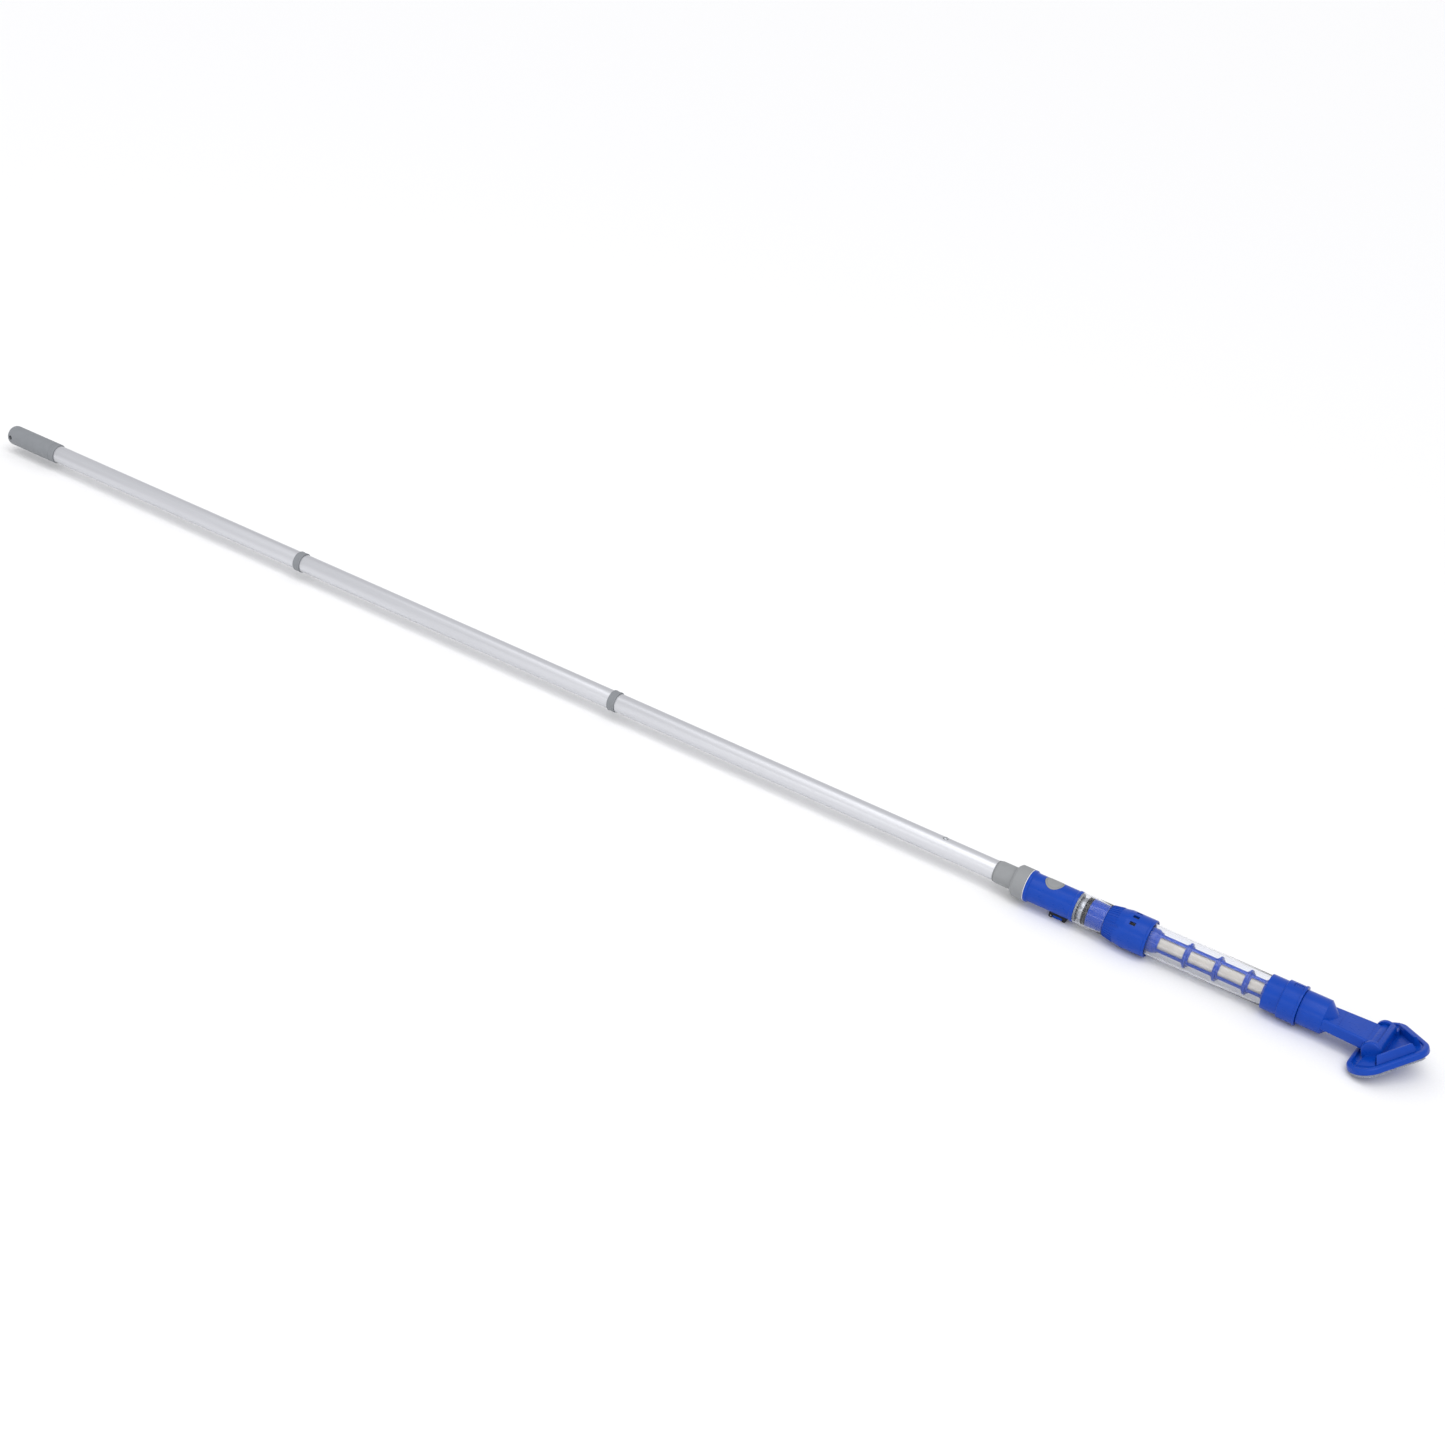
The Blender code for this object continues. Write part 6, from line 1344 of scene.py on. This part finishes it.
class AddNozzle(bpy.types.Operator):
    """Add the nozzle that turns from round to flat, with its spigot and hinge barrel"""
    bl_idname = "pool_vacuum.add_nozzle"
    bl_label = "Nozzle"

    def execute(self, context):
        head = settings("head")
        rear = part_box("nozzle_neck")[0].x
        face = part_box("front_connector")[1].x + GAP
        radius = 24.8 * MM
        spigot = 21.2 * MM
        groove = 16.4 * MM
        bore = 13.5 * MM
        latch_low, latch_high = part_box("latch_button")
        cone_x = face + 35.0 * MM
        cone_end = cone_x + 16.5 * MM
        half_neck = head.neck_thickness / 2
        corner = 3.5 * MM
        wall = 2.6 * MM
        nozzle = turned("blue_nozzle", [
            (rear, bore, 0.4 * MM), (rear, spigot, 0.8 * MM),
            (latch_low.x - 1.5 * MM, spigot, 0.3 * MM), (latch_low.x - 1.5 * MM, groove),
            (latch_high.x + 1.5 * MM, groove), (latch_high.x + 1.5 * MM, spigot, 0.3 * MM),
            (face, spigot), (face, radius, 0.8 * MM), (cone_x, radius, 0.8 * MM),
            (cone_end, half_neck, MM), (cone_end, half_neck - MM), (cone_x - 6 * MM, bore)],
                        2 * SIDES)
        front = PIVOT_X - 2 * MM
        widths = [(cone_x - 6 * MM, head.neck_rear - 4 * MM, head.neck_thickness - MM),
                  (cone_x + 2 * MM, head.neck_rear - 2 * MM, head.neck_thickness),
                  (cone_end, head.neck_rear, head.neck_thickness),
                  (front, head.neck_front, head.neck_thickness)]
        slab = lofted("neck_slab",
                      [neck_section(x, width, height, corner) for x, width, height in widths])
        barrel_half = head.neck_front / 2
        barrel = turned("hinge_barrel", [(-barrel_half, 0.0), (-barrel_half, BARREL_R, 0.6 * MM),
                                         (barrel_half, BARREL_R, 0.6 * MM), (barrel_half, 0.0)],
                        SIDES, "Y", (PIVOT_X, 0.0, AXIS_Z))
        carve(nozzle, slab, barrel, how="UNION")
        duct_high = head.neck_thickness - 2 * wall
        duct = lofted("neck_duct", [
            neck_section(cone_x - 9 * MM, 1.6 * bore, duct_high, corner - MM),
            neck_section(cone_x + 2 * MM, head.neck_rear - 2 * wall - 3 * MM, duct_high,
                         corner - MM),
            neck_section(PIVOT_X, head.neck_front - 2 * wall - MM, duct_high, corner - MM)])
        inner = barrel_half - 1.2 * wall
        hollow = rod("barrel_hollow", -inner, inner, BARREL_R - 2.3 * MM, SIDES, "Y",
                     (PIVOT_X, 0.0, AXIS_Z))
        outlet = block("barrel_outlet", (0.0, -inner, -0.55 * BARREL_R),
                       (2 * BARREL_R, inner, 0.55 * BARREL_R), 0.0, (PIVOT_X, 0.0, AXIS_Z))
        rotated(outlet, math.radians(90.0) - HEAD_SWING / 2 - head.pitch, "Y")
        pin = rod("pin_bore", -2 * barrel_half, 2 * barrel_half, PIVOT_BORE, SMALL_SIDES, "Y",
                  (PIVOT_X, 0.0, AXIS_Z))
        carve(nozzle, duct, hollow, outlet, pin)
        seams = []
        for x in (cone_end + 5.0 * MM, PIVOT_X - 12.0 * MM):
            width = head.neck_rear + 3 * MM
            seams.append(block("seam", (x - 0.35 * MM, -width / 2 + 3 * MM, half_neck - 0.35 * MM),
                               (x + 0.35 * MM, width / 2 - 3 * MM, half_neck + MM), 0.0))
        carve(nozzle, joined("seams", seams))
        settle(nozzle, "chamber", "blue_plastic", "nozzle_neck")
        return {"FINISHED"}


# ---------------------------------------------------------------- head
HEAD_REAR = 30.0 * MM              # hinge to the rear edge
REAR_CORNER = 28.3 * MM            # rounding of the two rear corners
REAR_CORNER_Y = 47.7 * MM
APEX = 29.3 * MM                   # rounding of the apex
APEX_X = 36.7 * MM
RIM_LOW = -16.0 * MM               # heights are measured from the hinge, square to the head
RIM_HIGH = -7.0 * MM
DECK = -10.0 * MM
SHELL = 2.6 * MM                   # thickness of the deck
REAR_CORNER_X = REAR_CORNER - HEAD_REAR
SPAN = math.hypot(REAR_CORNER_Y, APEX_X - REAR_CORNER_X)
SIDE_TURN = (math.atan2(REAR_CORNER_Y, REAR_CORNER_X - APEX_X)
             - math.acos((APEX - REAR_CORNER) / SPAN))
GROOVE_INSET = 6.5 * MM            # rim's edge to the middle of the brush strip
GROOVE_DEPTH = 3.0 * MM
STRIP_WIDTH = 6.0 * MM
RIM_STEPS = 18                     # segments of each rounded corner of the rim


def head_rim(inset):
    """The head's rounded triangle drawn in by inset, as (x, y) points from the apex round."""
    corners = ((APEX_X, 0.0, APEX, -SIDE_TURN, SIDE_TURN),
               (REAR_CORNER_X, REAR_CORNER_Y, REAR_CORNER, SIDE_TURN, math.pi),
               (REAR_CORNER_X, -REAR_CORNER_Y, REAR_CORNER, math.pi, 2 * math.pi - SIDE_TURN))
    ring = []
    for cx, cy, radius, start, end in corners:
        for i in range(RIM_STEPS + 1):
            angle = start + (end - start) * i / RIM_STEPS
            ring.append((cx + (radius - inset) * math.cos(angle),
                         cy + (radius - inset) * math.sin(angle)))
    return ring


def tilted(piece):
    """Sets a piece made about the hinge at the head's place and pitch."""
    turn = Matrix.Translation((PIVOT_X, 0.0, PIVOT_Z)) @ Matrix.Rotation(-settings("head").pitch,
                                                                         4, "Y")
    piece.location = ORIGIN
    piece.data.transform(turn)
    return piece


class AddHead(bpy.types.Operator):
    """Add the triangular head with its rim, ridges, well, corner panels, cheeks and bar"""
    bl_idname = "pool_vacuum.add_head"
    bl_label = "Head"

    def execute(self, context):
        head = settings("head")
        rim = head.rim_width
        band = head.rim_band
        groove_out = GROOVE_INSET - STRIP_WIDTH / 2 - GAP
        groove_in = GROOVE_INSET + STRIP_WIDTH / 2 + GAP
        groove_top = RIM_LOW + GROOVE_DEPTH
        profile = rounded([
            (band + 4 * MM, DECK), (band, DECK, MM), (band - 0.5 * MM, RIM_HIGH, 1.1 * MM),
            (0.3 * MM, RIM_HIGH, 3.2 * MM), (0.0, RIM_LOW, 1.2 * MM),
            (groove_out, RIM_LOW, 0.2 * MM), (groove_out, groove_top), (groove_in, groove_top),
            (groove_in, RIM_LOW, 0.2 * MM), (rim + 0.8 * MM, RIM_LOW, 0.3 * MM),
            (rim + 1.6 * MM, DECK - SHELL)], 4)
        shell = lofted("blue_head",
                       [[(x, y, z) for x, y in head_rim(inset)] for inset, z in profile], ORIGIN)

        root = DECK - 0.8 * MM
        foot = 10.3 * MM
        crest = foot + 3.4 * MM
        well = crest + head.ridge_width
        section = rounded([(foot, root), (crest, head.ridge_top, 1.2 * MM),
                           (well, head.ridge_top, 0.9 * MM), (well + 0.8 * MM, root)], 4)
        ridge = lofted("ridges", [[(x, y, z) for x, y in head_rim(inset)] for inset, z in section],
                       ORIGIN, True)
        side = REAR_CORNER_Y + REAR_CORNER
        rear_cut = block("rear_cut", (-HEAD_REAR, -side, root - MM),
                         (13.0 * MM, side, head.ridge_top + MM), 0.0, ORIGIN)
        apex_cut = plate("apex_cut", [(34.0 * MM, -8.0 * MM), (APEX_X + APEX, -12.0 * MM),
                                      (APEX_X + APEX, 12.0 * MM), (34.0 * MM, 8.0 * MM)],
                         root - MM, head.ridge_top + MM, "Z", ORIGIN)
        carve(ridge, rear_cut, apex_cut)
        soften(ridge, 0.7 * MM, 3, math.radians(50))
        carve(shell, ridge, how="UNION")

        clear = head.neck_front / 2 + GAP
        cheek = clear + 8.6 * MM
        radius = head.hood_radius
        hood = turned("hood", [(-cheek, 0.0), (-cheek, radius, 3.0 * MM),
                               (cheek, radius, 3.0 * MM), (cheek, 0.0)], SIDES, "Y", ORIGIN)
        skirt = block("skirt", (0.8 * MM - radius, 0.8 * MM - cheek, root - 0.8 * MM),
                      (radius - 0.8 * MM, cheek - 0.8 * MM, 0.0), 0.0, ORIGIN)
        carve(hood, skirt, how="UNION")
        trim = block("hood_trim", (-2 * radius, -2 * cheek, -2 * radius),
                     (2 * radius, 2 * cheek, root - 0.4 * MM), 0.0, ORIGIN)
        show = block("barrel_view", (-2 * radius, -clear, -4.6 * MM),
                     (9.0 * MM, clear, 2 * radius), 0.0, ORIGIN)
        carve(hood, trim, show)
        carve(shell, hood, how="UNION")
        for turn in (-1, 1):
            web = block("web", (11.4 * MM, 35.8 * MM, root + 0.2 * MM),
                        (15.6 * MM, 49.0 * MM, -3.0 * MM), 0.6 * MM, ORIGIN)
            low = DECK - 0.4 * MM
            panel = lofted("corner_panel", [
                [(x0, y, low), (x1, y, low), (x1, y, top), (x0, y, top)] for y, top, x0,
                x1 in (
                (37.1 * MM, -4.6 * MM, -8.0 * MM, 7.0 * MM),
                (59.0 * MM, -9.3 * MM, -15.0 * MM, 11.0 * MM))], ORIGIN)
            soften(panel, 0.5 * MM, 2, math.radians(50))
            if turn < 0:
                for piece in (web, panel):
                    piece.data.transform(Matrix.Scale(-1.0, 4, (0.0, 1.0, 0.0)))
                    piece.data.flip_normals()
            carve(shell, web, panel, how="UNION")

        room_r = BARREL_R + GAP
        barrel_room = rod("barrel_room", -clear, clear, room_r, SIDES, "Y", ORIGIN)
        mouth = block("mouth", (-9.7 * MM, GAP - clear, RIM_LOW - MM),
                      (9.7 * MM, clear - GAP, -0.8 * MM), 0.0, ORIGIN)
        carve(shell, barrel_room, mouth)
        half = head.neck_thickness / 2 + GAP
        for pitch in (head.pitch, head.pitch + HEAD_SWING):
            room = block("neck_room", (-2 * HEAD_REAR, -clear, -half), (0.0, clear, half), 0.0,
                         ORIGIN)
            carve(shell, rotated(room, pitch, "Y"))
        pin = rod("pin_room", -cheek + 1.5 * MM, cheek - 1.5 * MM, PIVOT_BORE, SMALL_SIDES, "Y",
                  ORIGIN)
        carve(shell, pin)
        soften(shell, 0.5 * MM, 3, math.radians(50))
        settle(tilted(shell), "head", "blue_plastic", "head_shell")
        return {"FINISHED"}


# ---------------------------------------------------------------- brushes
def groove_track():
    """The middle of the far half of the brush groove, from the rear edge's middle to the apex."""
    ring = head_rim(GROOVE_INSET)
    corner = ring[RIM_STEPS + 1:2 * RIM_STEPS + 2][::-1]
    apex = ring[RIM_STEPS // 2:RIM_STEPS + 1][::-1]
    return [Vector((GROOVE_INSET - HEAD_REAR, 0.0))] + [Vector(point) for point in corner + apex]


def on_track(track, distance):
    """A point on the groove's middle and the direction out of the head there."""
    for start, end in zip(track, track[1:]):
        length = (end - start).length
        if distance <= length or end is track[-1]:
            ahead = (end - start).normalized()
            return start + ahead * distance, Vector((-ahead.y, ahead.x))
        distance -= length


def track_length(track, points):
    """Length of the track over its first points."""
    return sum((b - a).length for a, b in zip(track[:points], track[1:points]))


BACKING = 2.6 * MM                 # thickness of a strip's nylon backing
BRISTLE_REACH = 4.6 * MM           # bristle below the rim
STRAND_SIDES = 5
STRAND_SEED = 7
# share of a strand's length: its radius there
STRAND = ((0.0, 0.3 * MM), (0.55, 0.3 * MM), (1.0, 0.26 * MM))
SPLIT = 0.38                       # share of a side where the rear strip gives way to the front one


def bristle_strip(name, start, end, side, draw):
    """A nylon backing with rows of separate filaments, splayed a little at their tips."""
    head = settings("head")
    track = groove_track()
    top = RIM_LOW + GROOVE_DEPTH - GAP
    low = top - BACKING
    half = STRIP_WIDTH / 2
    rings = []
    count = max(8, int((end - start) / (2 * MM)))
    for i in range(count + 1):
        place, out = on_track(track, start + (end - start) * i / count)
        ring = []
        for across, height in ((half, low), (half, top), (-half, top), (-half, low)):
            point = place + out * across
            ring.append((point.x, side * point.y, height))
        rings.append(ring)
    backing = lofted(name, rings, ORIGIN)
    form = bmesh.new()
    form.from_mesh(backing.data)
    tip = RIM_LOW - BRISTLE_REACH
    rows = head.strand_rows
    steps = int((end - start - 2 * head.strand_step) / head.strand_step)
    for row in range(rows):
        across = (row / (rows - 1) - 0.5) * (STRIP_WIDTH - 1.6 * MM)
        for i in range(steps):
            jitter = draw.uniform(-0.12, 0.12) * MM
            distance = start + head.strand_step * (i + 1 + 0.5 * (row % 2)) + jitter
            place, out = on_track(track, distance)
            root = place + out * across
            lean = out * (across * 0.16 + draw.uniform(-0.35, 0.35) * MM)
            lean += Vector((-out.y, out.x)) * draw.uniform(-0.4, 0.4) * MM
            length = draw.uniform(0.0, 0.25) * MM
            rows_of_verts = []
            for share, radius in STRAND:
                middle = root + lean * share ** 2
                height = (low + 0.4 * MM) * (1 - share) + (tip + length) * share
                ring = []
                for j in range(STRAND_SIDES):
                    angle = 2 * math.pi * j / STRAND_SIDES
                    ring.append(form.verts.new((middle.x + radius * math.cos(angle),
                                                side * (middle.y + radius * math.sin(angle)),
                                                height)))
                rows_of_verts.append(ring)
            for ring, after in zip(rows_of_verts, rows_of_verts[1:]):
                for j in range(STRAND_SIDES):
                    k = (j + 1) % STRAND_SIDES
                    form.faces.new((ring[j], ring[k], after[k], after[j]))
            form.faces.new(rows_of_verts[0])
            form.faces.new(rows_of_verts[-1][::-1])
    bmesh.ops.recalc_face_normals(form, faces=form.faces)
    form.to_mesh(backing.data)
    form.free()
    return tilted(backing)


class AddBrushes(bpy.types.Operator):
    """Add the four bristle strips set into the rim's groove"""
    bl_idname = "pool_vacuum.add_brushes"
    bl_label = "Brushes"

    def execute(self, context):
        draw = random.Random(STRAND_SEED)
        track = groove_track()
        whole = track_length(track, len(track))
        corner_end = track_length(track, RIM_STEPS + 2)
        side_length = (track[RIM_STEPS + 2] - track[RIM_STEPS + 1]).length
        split = corner_end + SPLIT * side_length
        rear = settings("head").neck_front / 2 + 2.0 * MM
        for side, word in ((-1, "near"), (1, "far")):
            for part, start, end in (("rear", rear, split - 2.5 * MM),
                                     ("front", split + 2.5 * MM, whole - 3 * MM)):
                strip = bristle_strip("_".join((part, word, "bristles")), start, end, side, draw)
                settle(strip, "head", "bristle_nylon", "_".join((part, "brush", word)))
        return {"FINISHED"}


# ---------------------------------------------------------------- springs under the keys
# spring: (joint that presses it, body it sits in, travel)
SPRINGS = {"snap_spring": ("snap_press", "vacuum", 3.6 * MM),
           "button_spring": ("power_press", "vacuum", 1.5 * MM),
           "latch_spring": ("latch_press", "chamber", 1.5 * MM)}


class AddSprings(bpy.types.Operator):
    """Add the wire springs, each kept in the frame's own shape and set in the body it sits in"""
    bl_idname = "pool_vacuum.add_springs"
    bl_label = "Springs"

    def execute(self, context):
        for node, (joint, body, travel) in SPRINGS.items():
            wire = new_piece(node.replace("_spring", "_wire_spring"),
                             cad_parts[node].data.copy(), (0.0, 0.0, 0.0))
            wire.data.materials.clear()
            settle(wire, body, "steel", node)
            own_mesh(wire)
        return {"FINISHED"}


# ---------------------------------------------------------------- inner parts kept from the frame
INNER_FINISHES = {
    "steel": ("cover_pin", "bulkhead_screw_near", "bulkhead_screw_far", "motor_shaft", "flap_pin",
              "near_pivot_pin", "far_pivot_pin"),
    "dark_grey_plastic": ("charging_jack", "battery_carrier", "motor_bulkhead"),
    "cell_wrap": ("battery_cell_near", "battery_cell_far"), "circuit_board": ("control_board",),
    "black_rubber": ("tact_switch", "motor_lead_near", "motor_lead_far", "shaft_seal",
                     "rear_chamber_seal", "front_chamber_seal"),}


class FinishInnerParts(bpy.types.Operator):
    """Give the inner parts that keep the frame's own shape their real finishes"""
    bl_idname = "pool_vacuum.finish_inner_parts"
    bl_label = "Inner parts"

    def execute(self, context):
        for slot, nodes in INNER_FINISHES.items():
            for node in nodes:
                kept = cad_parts[node]
                kept.data.materials.clear()
                kept.data.materials.append(finish(slot))
        return {"FINISHED"}


# ---------------------------------------------------------------- panel and main
GROUPS = {"colours": PoolVacuumColours, "pole": PoolVacuumPole, "housing": PoolVacuumHousing,
          "pump": PoolVacuumPump, "chamber": PoolVacuumChamber, "head": PoolVacuumHead,
          "stage": PoolVacuumStage}
OPERATORS = (AddStudio, AddPoleTubes, AddHandleGrip, AddPoleAdapter, AddRearCap, AddBatteryHousing,
             AddPowerButton, AddChargingPort, AddMotorSection, AddLockingCollar, AddPump,
             AddDebrisChamber, AddFilter, AddConnector, AddInletFlap, AddNozzle, AddHead,
             AddBrushes, AddSprings, FinishInnerParts)


class PoolVacuumPanel(bpy.types.Panel):
    """Sizes, colours and steps of the pool vacuum"""
    bl_idname = "VIEW3D_PT_pool_vacuum"
    bl_label = "Pool Vacuum"
    bl_space_type = "VIEW_3D"
    bl_region_type = "UI"
    bl_category = "Pool Vacuum"

    def draw(self, context):
        for group, kind in GROUPS.items():
            box = self.layout.box()
            box.label(text=group.capitalize())
            for key in kind.__annotations__:
                box.prop(settings(group), key)
        for operator in OPERATORS:
            self.layout.operator(operator.bl_idname)


def register():
    for kind in (*GROUPS.values(), *OPERATORS, PoolVacuumPanel):
        bpy.utils.register_class(kind)
    for group, kind in GROUPS.items():
        setattr(bpy.types.Scene, "pool_vacuum_" + group, bpy.props.PointerProperty(type=kind))


def unregister():
    for group in GROUPS:
        delattr(bpy.types.Scene, "pool_vacuum_" + group)
    for kind in (PoolVacuumPanel, *OPERATORS, *GROUPS.values()):
        bpy.utils.unregister_class(kind)


def main():
    register()
    for operator in OPERATORS:
        group, name = operator.bl_idname.split(".")
        getattr(getattr(bpy.ops, group), name)()
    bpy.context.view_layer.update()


if __name__ == "__main__":
    main()
